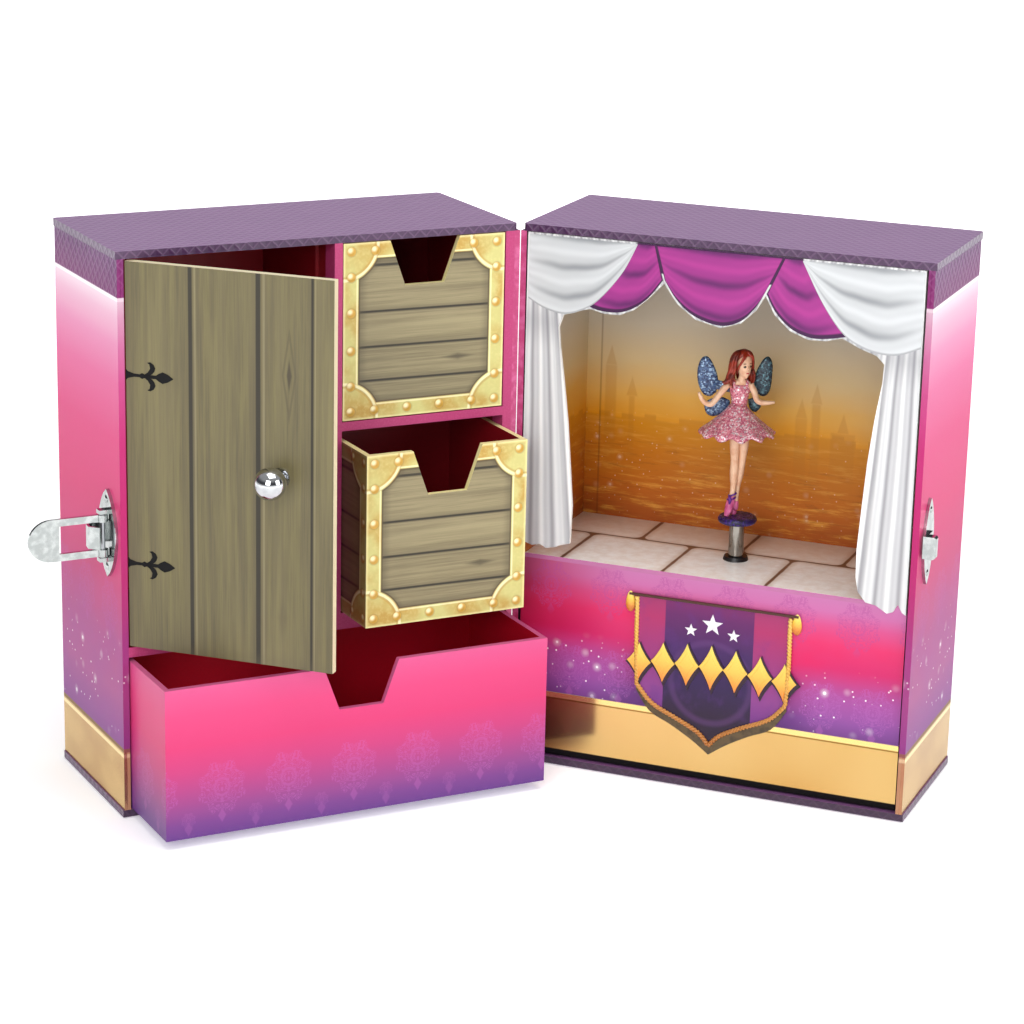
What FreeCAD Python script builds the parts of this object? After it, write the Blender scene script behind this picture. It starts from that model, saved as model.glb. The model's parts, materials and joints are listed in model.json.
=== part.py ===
import FreeCAD, Part
import math
import os

# Ballerina jewellery box: two card-covered halves joined by an upright spine hinge.
# Millimetres, +Z up. The shapes are laid out with the spine hinge line at x = 0, y = 0:
# the cabinet half lies at x < 0 with its open front facing -Y. The stage half is laid out
# in its own frame (w along its front, d into its depth) and then turned open.
# At the end everything is moved so that the origin is the middle of the base.

# ---- driving dimensions ----
WIDTH = 150.0            # width of each half
DEPTH = 65.0             # depth of each half
HEIGHT = 200.0
CAP = 2.6                # thickness of the top and bottom boards
WALL = 2.3               # thickness of the side walls
BACK = 2.3               # thickness of the back boards
OVERHANG = 0.5           # how far the top and bottom boards stand out past the walls
BOARD_INSET = 1.2        # the top and bottom boards stop this far from the hinge line
SPINE_GAP = 0.15         # each spine wall stands this far from the hinge line
PAPER = 0.3              # thickness of paper and cloth hinge strips

OPEN_ANGLE = 131.0       # stage opening angle at rest, 180 would be flat open
DOOR_ANGLE = 46.0        # door opening angle at rest
LOWER_DRAWER_OUT = 21.0  # how far the lower small drawer is pulled out at rest
WIDE_DRAWER_OUT = 34.0

LOWER_SHELF_Z = 58.4
LOWER_SHELF = 3.6
COLUMN_FLOOR = 2.4
MID_SHELF_Z = 130.9
MID_SHELF = 3.2
DIVIDER_X = -71.1
DIVIDER = 3.0
COLUMN_LINER = 3.3
CARD = 1.2

DRAWER_FRONT = 2.2
DRAWER_BOARD = 2.0
DRAWER_DEPTH = 60.8
DRAWER_SETBACK = 0.3
SMALL_NOTCH = (26.6, 15.0, 16.0)  # finger notch: width at the top, width at the foot, depth
WIDE_NOTCH = (28.0, 16.6, 15.4)

DOOR_BOARD = 3.0
DOOR_GAP = 0.6
KNOB_DISTANCE = 56.0     # knob centre from the door's hinge edge
KNOB_Z = 128.6
KNOB_RADIUS = 5.5

CLASP_Z = 100.5          # height of the clasp's middle
CLASP_Y = 9.0            # hasp pivot, measured back from the cabinet's front
CLASP_PIVOT_OUT = 3.3    # hasp pivot, measured out from the wall
PIVOT_RADIUS = 0.9
HASP_WINDOW = 15.6       # far end of the loop's window from the pivot
RUNNING_GAP = 0.05

STAGE_FLOOR_Z = 77.4
STAGE_FLOOR = 1.6
FRONT_CARD = 1.4
CARD_STRETCH = WIDTH / 145.0  # the curtain outline is drawn on a card for a 145 wide half
CARD_DROP = 1.0          # and is hung this much lower
SPINDLE_W = 75.5         # spindle position on the stage
SPINDLE_D = 28.0
SPINDLE_RADIUS = 1.5
DISC_Z = 92.8
DISC_THICKNESS = 2.7
TUBE_FOOT_Z = 80.8
FIGURE_FACING = -27.1    # turn of the figurine about Z, 0 faces -Y

PINION_TEETH = 8
CROWN_PINS = 24
CROWN_RADIUS = 18.0
WHEEL_TEETH = 40
GOVERNOR_TEETH = 10
GEAR_MODULE = 0.8

UP = FreeCAD.Vector(0, 0, 1)
ORIGIN = FreeCAD.Vector(0, 0, 0)


# ---- helpers ----
def vec(x, y, z=0.0):
    return FreeCAD.Vector(x, y, z)


def block(x0, x1, y0, y1, z0, z1):
    return Part.makeBox(x1 - x0, y1 - y0, z1 - z0, vec(x0, y0, z0))


def rod(radius, start, end):
    axis = end - start
    return Part.makeCylinder(radius, axis.Length, start, axis)


def ball(radius, centre):
    return Part.makeSphere(radius, centre)


def fuse(shapes):
    joined = shapes[0]
    for shape in shapes[1:]:
        joined = joined.fuse(shape)
    return joined.removeSplitter()


def plate_xz(outline, y0, y1):
    """A flat plate standing in the XZ plane, from a list of (x, z) corners."""
    points = [vec(x, y0, z) for x, z in outline]
    face = Part.Face(Part.makePolygon(points + [points[0]]))
    return face.extrude(vec(0, y1 - y0, 0))


def plate_xy(outline, z0, z1):
    """A flat plate lying in the XY plane, from a list of (x, y) corners."""
    points = [vec(x, y, z0) for x, y in outline]
    face = Part.Face(Part.makePolygon(points + [points[0]]))
    return face.extrude(vec(0, 0, z1 - z0))


def plate_yz(outline, x0, x1):
    """A flat plate standing in the YZ plane, from a list of (y, z) corners."""
    points = [vec(x0, y, z) for y, z in outline]
    face = Part.Face(Part.makePolygon(points + [points[0]]))
    return face.extrude(vec(x1 - x0, 0, 0))


def lathe(profile, centre):
    """Turn a list of (radius, z) corners about the upright axis through centre."""
    points = [vec(radius, 0, z) for radius, z in profile]
    face = Part.Face(Part.makePolygon(points + [points[0]]))
    solid = face.revolve(ORIGIN, UP, 360)
    solid.translate(centre)
    return solid


def turned(shape, degrees, centre=ORIGIN, axis=UP):
    copy = shape.copy()
    copy.rotate(centre, axis, degrees)
    return copy


def moved(shape, x, y, z):
    copy = shape.copy()
    copy.translate(vec(x, y, z))
    return copy


def round_upright_edges(solid, radius, corners):
    """Round the upright edges nearest the given (x, y) corners."""
    edges = []
    for edge in solid.Edges:
        start = edge.Vertexes[0].Point
        end = edge.Vertexes[-1].Point
        upright = abs(start.x - end.x) + abs(start.y - end.y) < 1e-6
        near = any(math.hypot(start.x - x, start.y - y) < 0.1 for x, y in corners)
        if upright and near:
            edges.append(edge)
    return solid.makeFillet(radius, edges)


def lens(half_width, half_height, count):
    """Corners of a pointed oval, as (across, up) pairs round its middle."""
    right = []
    for step in range(count + 1):
        up = half_height * (1 - 2 * step / count)
        right.append((half_width * (1 - (up / half_height) ** 2) ** 0.8, up))
    left = [(-across, up) for across, up in reversed(right[1:-1])]
    return right + left


# ---- outer shells, shared by both halves ----
def shell(side):
    """Boards of one half. side -1 is the cabinet (x < 0), +1 the stage (w > 0)."""
    def span(near, far):
        return sorted((side * near, side * far))

    wide = span(BOARD_INSET, WIDTH)
    corners = [(side * WIDTH, DEPTH), (side * BOARD_INSET, DEPTH), (side * BOARD_INSET, 0)]
    top = block(*wide, 0, DEPTH, HEIGHT - CAP, HEIGHT)
    bottom = block(*wide, 0, DEPTH, 0, CAP)
    wall_z = (CAP, HEIGHT - CAP)
    outer = WIDTH - OVERHANG
    back_y = DEPTH - OVERHANG
    clasp = span(outer - WALL, outer)
    spine = span(SPINE_GAP, WALL)
    inner = span(WALL, outer - WALL)
    return {
        "top_panel": round_upright_edges(top, 1.2, corners),
        "bottom_panel": round_upright_edges(bottom, 1.2, corners),
        "clasp_wall": block(*clasp, 0, back_y, *wall_z),
        "hinge_wall": block(*spine, 0, back_y, *wall_z),
        "back_panel": block(*inner, back_y - BACK, back_y, *wall_z),
    }


def spine_strip(walls, side):
    """Paper strip let into the spine wall's front edge."""
    low, high = sorted((side * SPINE_GAP, side * WALL))
    strip = block(low, high, 0, PAPER, CAP, HEIGHT - CAP)
    walls["hinge_wall"] = walls["hinge_wall"].cut(strip)
    return strip


# ---- cabinet half ----
def cabinet_nodes():
    boards = shell(-1)
    strip = spine_strip(boards, -1)
    left = -(WIDTH - OVERHANG - WALL)
    back = DEPTH - OVERHANG - BACK
    top = HEIGHT - CAP
    shelf_top = LOWER_SHELF_Z + LOWER_SHELF
    column_floor_top = shelf_top + COLUMN_FLOOR
    divider_right = DIVIDER_X + DIVIDER
    liner_left = -WALL - COLUMN_LINER
    nodes = {"cabinet_" + name: board for name, board in boards.items()}
    nodes["cabinet_spine_strip"] = strip
    nodes["cabinet_lower_shelf"] = block(left, -WALL, 0, back, LOWER_SHELF_Z, shelf_top)
    nodes["cabinet_divider"] = block(DIVIDER_X, divider_right, 0, back, shelf_top, top)
    nodes["column_floor"] = block(divider_right, -WALL, 0, back, shelf_top, column_floor_top)
    nodes["column_side"] = block(liner_left, -WALL, 0, back, column_floor_top, top)
    nodes["cabinet_mid_shelf"] = block(divider_right, liner_left, 0, back,
                                       MID_SHELF_Z, MID_SHELF_Z + MID_SHELF)
    nodes["door_space_liner"] = block(DIVIDER_X - CARD, DIVIDER_X, 14, back, shelf_top, top)
    nodes["door_hinge_tape_fixed"] = block(left, left + PAPER, 0.8, 9, shelf_top + 5, top - 5)
    return nodes


# ---- door ----
def door_axis():
    left = -(WIDTH - OVERHANG - WALL)
    return vec(left + 0.4, 0.2, 0)


def door_nodes():
    axis = door_axis()
    z0 = LOWER_SHELF_Z + LOWER_SHELF + DOOR_GAP
    z1 = HEIGHT - CAP - DOOR_GAP
    x0 = axis.x + 0.1
    x1 = DIVIDER_X - DOOR_GAP
    y0 = 0.3
    y1 = y0 + DOOR_BOARD
    knob_x = axis.x + KNOB_DISTANCE
    screw_hole = rod(1.2, vec(knob_x, y0, KNOB_Z), vec(knob_x, y1, KNOB_Z))
    panel = block(x0, x1, y0, y1, z0, z1).cut(screw_hole)
    tape = block(x0 + 0.4, x0 + 8.4, y1, y1 + PAPER, z0 + 5, z1 - 5)
    neck = rod(2.0, vec(knob_x, y0 - 3.5, KNOB_Z), vec(knob_x, y0, KNOB_Z))
    base = rod(3.6, vec(knob_x, y0 - 0.8, KNOB_Z), vec(knob_x, y0, KNOB_Z))
    knob = fuse([ball(KNOB_RADIUS, vec(knob_x, y0 - 8.2, KNOB_Z)), neck, base])
    screw_stem = rod(1.2, vec(knob_x, y0, KNOB_Z), vec(knob_x, y1, KNOB_Z))
    screw_head = rod(2.8, vec(knob_x, y1, KNOB_Z), vec(knob_x, y1 + 1.2, KNOB_Z))
    nodes = {
        "door_panel": panel,
        "door_hinge_tape_moving": tape,
        "door_knob": knob,
        "door_knob_screw": fuse([screw_stem, screw_head]),
    }
    return {name: turned(shape, -DOOR_ANGLE, axis) for name, shape in nodes.items()}


# ---- drawers ----
def drawer_nodes(name, x0, x1, z0, z1, pulled_out, notch):
    """One card drawer: notched front, U-shaped tray wall and bottom board."""
    top_width, low_width, notch_depth = notch
    middle = (x0 + x1) / 2
    y0 = DRAWER_SETBACK - pulled_out
    y1 = y0 + DRAWER_FRONT
    y2 = y0 + DRAWER_DEPTH
    half_top = top_width / 2
    half_low = low_width / 2
    outline = [
        (x0, z0), (x1, z0), (x1, z1), (middle + half_top, z1),
        (middle + half_low, z1 - notch_depth), (middle - half_low, z1 - notch_depth),
        (middle - half_top, z1), (x0, z1),
    ]
    ring = block(x0, x1, y1, y2, z0, z1)
    hollow = block(x0 + DRAWER_BOARD, x1 - DRAWER_BOARD, y1, y2 - DRAWER_BOARD, z0, z1)
    floor = block(x0 + DRAWER_BOARD, x1 - DRAWER_BOARD, y1, y2 - DRAWER_BOARD,
                  z0, z0 + DRAWER_BOARD)
    return {
        name + "_front": plate_xz(outline, y0, y1),
        name + "_tray": ring.cut(hollow),
        name + "_bottom": floor,
    }


def all_drawers():
    x0 = DIVIDER_X + DIVIDER + 0.4
    x1 = -WALL - COLUMN_LINER - 0.4
    left = -(WIDTH - OVERHANG - WALL) + 0.5
    column_floor_top = LOWER_SHELF_Z + LOWER_SHELF + COLUMN_FLOOR
    upper = drawer_nodes("upper_drawer", x0, x1, MID_SHELF_Z + MID_SHELF + 0.3,
                         HEIGHT - CAP - 0.4, 0.0, SMALL_NOTCH)
    lower = drawer_nodes("lower_drawer", x0, x1, column_floor_top + 0.6, column_floor_top + 62.6,
                         LOWER_DRAWER_OUT, SMALL_NOTCH)
    wide = drawer_nodes("wide_drawer", left, -WALL - 0.5, CAP + 0.4, LOWER_SHELF_Z - 1.4,
                        WIDE_DRAWER_OUT, WIDE_NOTCH)
    return upper, lower, wide


# ---- clasp on the cabinet ----
def clasp_pivot():
    wall_face = -(WIDTH - OVERHANG)
    return vec(wall_face - CLASP_PIVOT_OUT, CLASP_Y, CLASP_Z)


def clasp_nodes():
    wall_face = -(WIDTH - OVERHANG)
    pivot = clasp_pivot()
    plate_out = wall_face - 1.2
    middle_y = CLASP_Y + 2.0
    oval = [(middle_y + across, CLASP_Z + up) for across, up in lens(8.6, 15.6, 16)]
    plate = plate_yz(oval, plate_out, wall_face)
    parts = [plate]
    for side in (-1, 1):
        ear_low = CLASP_Z + side * 7.8
        ear_high = CLASP_Z + side * 9.2
        z0, z1 = sorted((ear_low, ear_high))
        parts.append(block(pivot.x - 1.6, plate_out, CLASP_Y - 1.6, CLASP_Y + 1.6, z0, z1))
        rivet_z = CLASP_Z + side * 12.0
        head = ball(2.4, vec(plate_out + 1.8, middle_y, rivet_z))
        parts.append(head.common(block(plate_out - 2, plate_out, 0, 30, rivet_z - 4, rivet_z + 4)))
    pin_low = vec(pivot.x, pivot.y, CLASP_Z - 9.2)
    pin_high = vec(pivot.x, pivot.y, CLASP_Z + 9.2)
    pin = rod(PIVOT_RADIUS, pin_low, pin_high)
    outer_arch = [
        (plate_out, CLASP_Y + 6.0), (plate_out - 5.0, CLASP_Y + 4.6), (plate_out - 7.2, CLASP_Y + 2.4),
        (plate_out - 7.6, CLASP_Y - 1.0), (plate_out - 4.6, CLASP_Y - 4.2), (plate_out - 3.9, CLASP_Y - 3.7),
        (plate_out - 6.7, CLASP_Y - 0.8), (plate_out - 6.4, CLASP_Y + 2.0), (plate_out - 4.5, CLASP_Y + 3.8),
        (plate_out, CLASP_Y + 5.0),
    ]
    tongue = plate_xy(outer_arch, CLASP_Z - 3.9, CLASP_Z + 3.9)
    return {
        "hasp_plate": fuse(parts).cut(pin),
        "hasp_pin": pin,
        "hasp_tongue": tongue,
    }


def hasp_loop():
    """U-shaped loop pointing straight out (-X) from its pivot, with a half-moon finger tab."""
    pivot = clasp_pivot()
    arm_inner = 4.9
    arm_outer = 7.4
    tab_start = HASP_WINDOW + 2.6
    tab_end = tab_start + 8.2
    parts = []
    for side in (-1, 1):
        z0, z1 = sorted((CLASP_Z + side * arm_inner, CLASP_Z + side * arm_outer))
        parts.append(block(pivot.x - tab_start, pivot.x - 1.2, CLASP_Y - 0.6, CLASP_Y + 0.6, z0, z1))
        parts.append(rod(1.9, vec(pivot.x, CLASP_Y, z0), vec(pivot.x, CLASP_Y, z1)))
    parts.append(block(pivot.x - tab_start, pivot.x - HASP_WINDOW, CLASP_Y - 0.6, CLASP_Y + 0.6,
                       CLASP_Z - arm_outer, CLASP_Z + arm_outer))
    moon = []
    for step in range(17):
        angle = math.pi * step / 16
        reach = tab_start + (tab_end - tab_start) * math.sin(angle)
        moon.append((pivot.x - reach, CLASP_Z + arm_outer * math.cos(angle)))
    parts.append(plate_xz(moon, CLASP_Y - 0.6, CLASP_Y + 0.6))
    hole = rod(PIVOT_RADIUS + RUNNING_GAP, vec(pivot.x, CLASP_Y, CLASP_Z - 10),
               vec(pivot.x, CLASP_Y, CLASP_Z + 10))
    return fuse(parts).cut(hole)


# ---- stage half, in its own (w, d, z) frame ----
def curtain_outline():
    """Corners of the curtain opening in the front card, as (w, z) pairs."""
    corners = [
        (20.8, 86.0), (21.2, 100.0), (20.0, 115.0), (18.8, 130.0), (17.0, 145.0), (15.2, 158.0),
        (14.6, 165.0), (16.2, 169.6), (20.5, 171.2), (26.0, 172.8), (31.0, 171.6), (36.5, 171.7),
        (41.5, 174.0), (46.0, 178.0), (52.0, 184.6), (57.0, 177.8), (63.5, 173.0), (72.5, 171.0),
        (79.5, 173.4), (84.5, 178.4), (87.6, 184.0), (91.0, 177.6), (96.5, 172.6), (103.0, 170.2),
        (109.0, 170.4), (114.5, 172.0), (121.0, 169.0), (126.5, 167.2), (129.2, 164.5),
        (128.9, 158.0), (127.0, 145.0), (125.4, 130.0), (124.4, 115.0), (123.4, 98.0), (123.6, 88.0),
    ]
    return [(w * CARD_STRETCH, z - CARD_DROP) for w, z in corners]


def curtain_hem():
    """Lower edge of the front card from right to left, below the opening."""
    corners = [
        (123.6, 88.0), (124.6, 82.0), (127.4, 78.6), (131.0, 78.0), (135.0, 75.6), (137.0, 76.4),
        (138.6, 79.4), (140.2, 76.6), (141.4, 75.6),
    ]
    return [(w * CARD_STRETCH, z) for w, z in corners]


def front_card():
    left = WALL + 0.4
    right = WIDTH - OVERHANG - WALL - 0.8
    top = HEIGHT - CAP - 0.3
    outline = [(left, top), (left, 84.0), (7.0, 82.6), (10.0, 83.4), (12.6, 82.2), (16.0, 83.0),
               (18.0, 84.0)]
    outline += curtain_outline()
    outline += curtain_hem()[1:-1]
    outline += [(right, 75.8), (right, top)]
    return plate_xz(outline, 0.4, 0.4 + FRONT_CARD)


def banner():
    """Pennant card on the base front, hung from a thin rod with ball ends."""
    back = 0.4 + FRONT_CARD
    outline = [(47.6, 69.8), (47.6, 34.4), (76.6, 13.2), (105.6, 34.4), (105.6, 69.8)]
    card = plate_xz(outline, back - 0.8, back)
    rail = block(45.8, 107.4, back - 1.2, back, 68.6, 71.0)
    return fuse([card, rail])


def stage_board_nodes():
    boards = shell(1)
    strip = spine_strip(boards, 1)
    left = WALL + 0.4
    right = WIDTH - OVERHANG - WALL - 0.8
    back = DEPTH - OVERHANG - BACK
    front = 0.4 + FRONT_CARD
    floor_top = STAGE_FLOOR_Z + STAGE_FLOOR
    spindle = vec(SPINDLE_W, SPINDLE_D, 0)
    nodes = {"stage_" + name: board for name, board in boards.items()}
    key_hole = rod(4.0, vec(SPINDLE_W, back - 1, KEY_Z), vec(SPINDLE_W, DEPTH, KEY_Z))
    nodes["stage_back_panel"] = nodes["stage_back_panel"].cut(key_hole)
    nodes["stage_spine_strip"] = strip
    floor = block(left, right, front, back, STAGE_FLOOR_Z, floor_top)
    bush_hole = rod(4.0, spindle + vec(0, 0, STAGE_FLOOR_Z), spindle + vec(0, 0, floor_top))
    nodes["stage_floor"] = floor.cut(bush_hole)
    nodes["stage_base_front"] = block(left, right, front, front + 2.4, CAP + 0.6, STAGE_FLOOR_Z)
    nodes["stage_front_card"] = front_card()
    nodes["stage_banner"] = banner()
    card_top = HEIGHT - CAP - 0.6
    outer = block(left, right, front, back - 0.3, floor_top, card_top)
    inner = block(left + CARD, right - CARD, front, back - 0.3 - CARD, floor_top, card_top)
    nodes["stage_backdrop"] = outer.cut(inner)
    collar = lathe([(SPINDLE_RADIUS + RUNNING_GAP, STAGE_FLOOR_Z), (4.0, STAGE_FLOOR_Z),
                    (4.0, floor_top), (4.6, floor_top), (4.2, floor_top + 1.4),
                    (SPINDLE_RADIUS + RUNNING_GAP, floor_top + 1.4)], spindle)
    nodes["spindle_bushing"] = collar
    return nodes


def keeper():
    """Keeper plate with a rounded hook on the stage's clasp wall."""
    wall_face = WIDTH - OVERHANG
    middle_d = 10.6
    oval = [(middle_d + across, CLASP_Z + up) for across, up in lens(5.8, 15.6, 16)]
    parts = [plate_yz(oval, wall_face, wall_face + 1.1)]
    parts.append(block(wall_face + 1.0, wall_face + 2.2, 2.0, 10.6, CLASP_Z - 4.0, CLASP_Z + 4.0))
    lip = block(wall_face + 1.0, wall_face + 5.6, 2.0, 5.8, CLASP_Z - 4.0, CLASP_Z + 4.0)
    rounded = [edge for edge in lip.Edges
               if min(edge.Vertexes[0].X, edge.Vertexes[-1].X) > wall_face + 2]
    parts.append(lip.makeFillet(1.2, rounded))
    for side in (-1, 1):
        rivet_z = CLASP_Z + side * 11.4
        head = ball(2.0, vec(wall_face - 0.4, middle_d, rivet_z))
        parts.append(head.common(block(wall_face + 1.0, wall_face + 3, 0, 30, rivet_z - 4, rivet_z + 4)))
    return fuse(parts)


# ---- movement, hidden under the stage floor ----
PINION_Z0 = 49.0
PINION_Z1 = 55.0
KEY_Z = (PINION_Z0 + PINION_Z1) / 2 - CROWN_RADIUS
PINION_PITCH = CROWN_RADIUS * PINION_TEETH / CROWN_PINS
GEAR_DISTANCE = GEAR_MODULE * (WHEEL_TEETH + GOVERNOR_TEETH) / 2
GOVERNOR_W = SPINDLE_W + GEAR_DISTANCE


def toothed_disc(teeth, root, tip, base_width, tip_width, phase):
    """Corners of a plain gear: straight-sided teeth on a round root."""
    points = []
    pitch = 2 * math.pi / teeth
    for tooth in range(teeth):
        middle = phase + tooth * pitch
        root_half = math.asin(base_width / 2 / root)
        tip_half = math.asin(tip_width / 2 / tip)
        for radius, angle in ((root, middle - root_half), (tip, middle - tip_half),
                              (tip, middle + tip_half), (root, middle + root_half)):
            points.append((radius * math.cos(angle), radius * math.sin(angle)))
    return points


def spur_gear(teeth, phase, z0, z1):
    radius = GEAR_MODULE * teeth / 2
    outline = toothed_disc(teeth, radius - 1.2 * GEAR_MODULE, radius + 0.72 * GEAR_MODULE,
                           0.52 * math.pi * GEAR_MODULE, 0.2 * math.pi * GEAR_MODULE, phase)
    return plate_xy(outline, z0, z1)


def spindle_drive():
    """Spindle with its star pinion below and its spur wheel just under the floor."""
    shaft = rod(SPINDLE_RADIUS, vec(0, 0, 42.2), vec(0, 0, DISC_Z))
    star = plate_xy(toothed_disc(PINION_TEETH, 4.2, PINION_PITCH + 1.1, 1.5, 1.2, math.pi / 2),
                    PINION_Z0, PINION_Z1)
    wheel = spur_gear(WHEEL_TEETH, 0.0, 73.2, 74.8)
    return moved(fuse([shaft, star, wheel]), SPINDLE_W, SPINDLE_D, 0)


def music_cylinder():
    """Pinned brass cylinder on the spindle."""
    body = Part.makeCylinder(6.4, 14.0, vec(0, 0, 57.5), UP)
    parts = [body]
    for index in range(36):
        angle = index * 2.399963
        z = 59.0 + (index % 12) * 1.0
        direction = vec(math.cos(angle), math.sin(angle))
        parts.append(rod(0.25, direction * 6.2 + vec(0, 0, z), direction * 6.8 + vec(0, 0, z)))
    cylinder = fuse(parts).cut(rod(SPINDLE_RADIUS, vec(0, 0, 50), vec(0, 0, 80)))
    return moved(cylinder, SPINDLE_W, SPINDLE_D, 0)


def governor():
    """Air-brake fan turned fast by a small pinion beside the spur wheel."""
    shaft = rod(0.9, vec(0, 0, 42.2), vec(0, 0, 75.5))
    phase = math.pi / GOVERNOR_TEETH
    pinion = spur_gear(GOVERNOR_TEETH, phase, 73.0, 75.0)
    fan = block(-7.0, 7.0, -0.4, 0.4, 50.0, 66.0)
    return moved(fuse([shaft, pinion, fan]), GOVERNOR_W, SPINDLE_D, 0)


def movement_nodes():
    w0 = SPINDLE_W - 24.0
    w1 = SPINDLE_W + 30.0
    leg = 2.0
    top = block(w0, w1, 14, 34 + 12, 76.0, STAGE_FLOOR_Z)
    leg_front = SPINDLE_D - 6.0
    leg_back = SPINDLE_D + 4.0
    legs = [block(w0, w0 + leg, leg_front, leg_back, 42, 76),
            block(w1 - leg, w1, leg_front, leg_back, 42, 76)]
    foot = block(w0, w1, leg_front, leg_back, 42, 44)
    frame = fuse([top, foot] + legs)
    spindle_hole = rod(SPINDLE_RADIUS + RUNNING_GAP, vec(SPINDLE_W, SPINDLE_D, 42),
                       vec(SPINDLE_W, SPINDLE_D, 78))
    governor_hole = rod(0.9 + RUNNING_GAP, vec(GOVERNOR_W, SPINDLE_D, 42), vec(GOVERNOR_W, SPINDLE_D, 75.6))
    frame = frame.cut(spindle_hole).cut(governor_hole)
    screws = []
    for w in (w0 + 3, w1 - 3):
        for d in (17.0, 43.0):
            screws.append(rod(2.2, vec(w, d, 74.6), vec(w, d, 76.0)))
    comb_back = SPINDLE_W - 21.8
    comb_tip = SPINDLE_W - 7.4
    comb = block(comb_back, comb_tip, SPINDLE_D - 0.4, SPINDLE_D + 0.4, 58.3, 70.7)
    for slot in range(11):
        z = 59.35 + slot * 1.0
        comb = comb.cut(block(comb_tip - 10, comb_tip, SPINDLE_D - 1, SPINDLE_D + 1, z, z + 0.3))
    clamp = block(w0 + leg, comb_back + 2.0, SPINDLE_D + 0.4, SPINDLE_D + 3.4, 57.0, 72.0)
    bush = fuse([rod(4.0, vec(SPINDLE_W, 58.6, KEY_Z), vec(SPINDLE_W, DEPTH - OVERHANG, KEY_Z)),
                 rod(6.5, vec(SPINDLE_W, 60.8, KEY_Z), vec(SPINDLE_W, DEPTH - OVERHANG - BACK, KEY_Z))])
    bush = bush.cut(rod(2.0 + RUNNING_GAP, vec(SPINDLE_W, 50, KEY_Z), vec(SPINDLE_W, 70, KEY_Z)))
    return {
        "movement_frame": frame,
        "movement_screws": Part.makeCompound(screws),
        "music_comb": fuse([comb, clamp]),
        "key_bushing": bush,
    }


def key_nodes():
    """Winding key, arbor with spring barrel, and the crown wheel whose pins turn the pinion."""
    pin_tip = SPINDLE_D + PINION_PITCH - 0.7
    disc_front = pin_tip + 3.6
    disc_back = disc_front + 2.0
    centre_z = KEY_Z
    pins = [rod(CROWN_RADIUS + 2.0, vec(SPINDLE_W, disc_front, centre_z), vec(SPINDLE_W, disc_back, centre_z))]
    for index in range(CROWN_PINS):
        angle = math.pi / 2 + (index + 0.5) * 2 * math.pi / CROWN_PINS
        w = SPINDLE_W + CROWN_RADIUS * math.cos(angle)
        z = centre_z + CROWN_RADIUS * math.sin(angle)
        pins.append(rod(0.7, vec(w, pin_tip, z), vec(w, disc_front + 0.5, z)))
    crown = fuse(pins)
    barrel = rod(14.5, vec(SPINDLE_W, disc_back, centre_z), vec(SPINDLE_W, 56.5, centre_z))
    arbor = rod(2.0, vec(SPINDLE_W, 56.0, centre_z), vec(SPINDLE_W, DEPTH + 3.0, centre_z))
    stem = rod(3.4, vec(SPINDLE_W, DEPTH + 1.0, centre_z), vec(SPINDLE_W, DEPTH + 9.0, centre_z))
    wings = []
    for side in (-1, 1):
        centre = vec(SPINDLE_W + side * 6.8, DEPTH + 9.4, centre_z)
        wings.append(rod(6.6, centre + vec(0, 0, -1.0), centre + vec(0, 0, 1.0)))
        hole = rod(2.6, centre + vec(0, 0, -2.0), centre + vec(0, 0, 2.0))
        wings[-1] = wings[-1].cut(hole)
    key = fuse([stem] + wings).cut(arbor)
    return {
        "winding_key": key,
        "spring_barrel": fuse([barrel, arbor]),
        "crown_wheel": crown,
    }


# ---- figurine, built facing -Y on the spindle axis ----
def limb(points, radii):
    """Rounded limb through the points: a ball at each and a cone between each pair."""
    parts = [ball(radius, point) for point, radius in zip(points, radii)]
    for index in range(len(points) - 1):
        start = points[index]
        axis = points[index + 1] - start
        if abs(radii[index] - radii[index + 1]) < 1e-6:
            parts.append(Part.makeCylinder(radii[index], axis.Length, start, axis))
        else:
            parts.append(Part.makeCone(radii[index], radii[index + 1], axis.Length, start, axis))
    return fuse(parts)


def wing_half(side):
    """Upper and lower lobe of one wing, standing behind the shoulders."""
    upper = [(0.8, 137.0), (3.0, 146.0), (6.5, 151.5), (10.5, 153.4), (13.2, 152.4), (14.0, 148.0),
             (12.6, 142.0), (9.0, 138.6), (4.0, 136.4)]
    lower = [(0.8, 137.4), (5.0, 137.2), (8.8, 135.0), (9.6, 131.4), (7.4, 128.8), (4.4, 129.4),
             (1.6, 133.0)]
    lobes = []
    for lobe in (upper, lower):
        lobes.append(plate_xz([(side * x, z) for x, z in lobe], 4.3, 5.1))
    return fuse(lobes)


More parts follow.
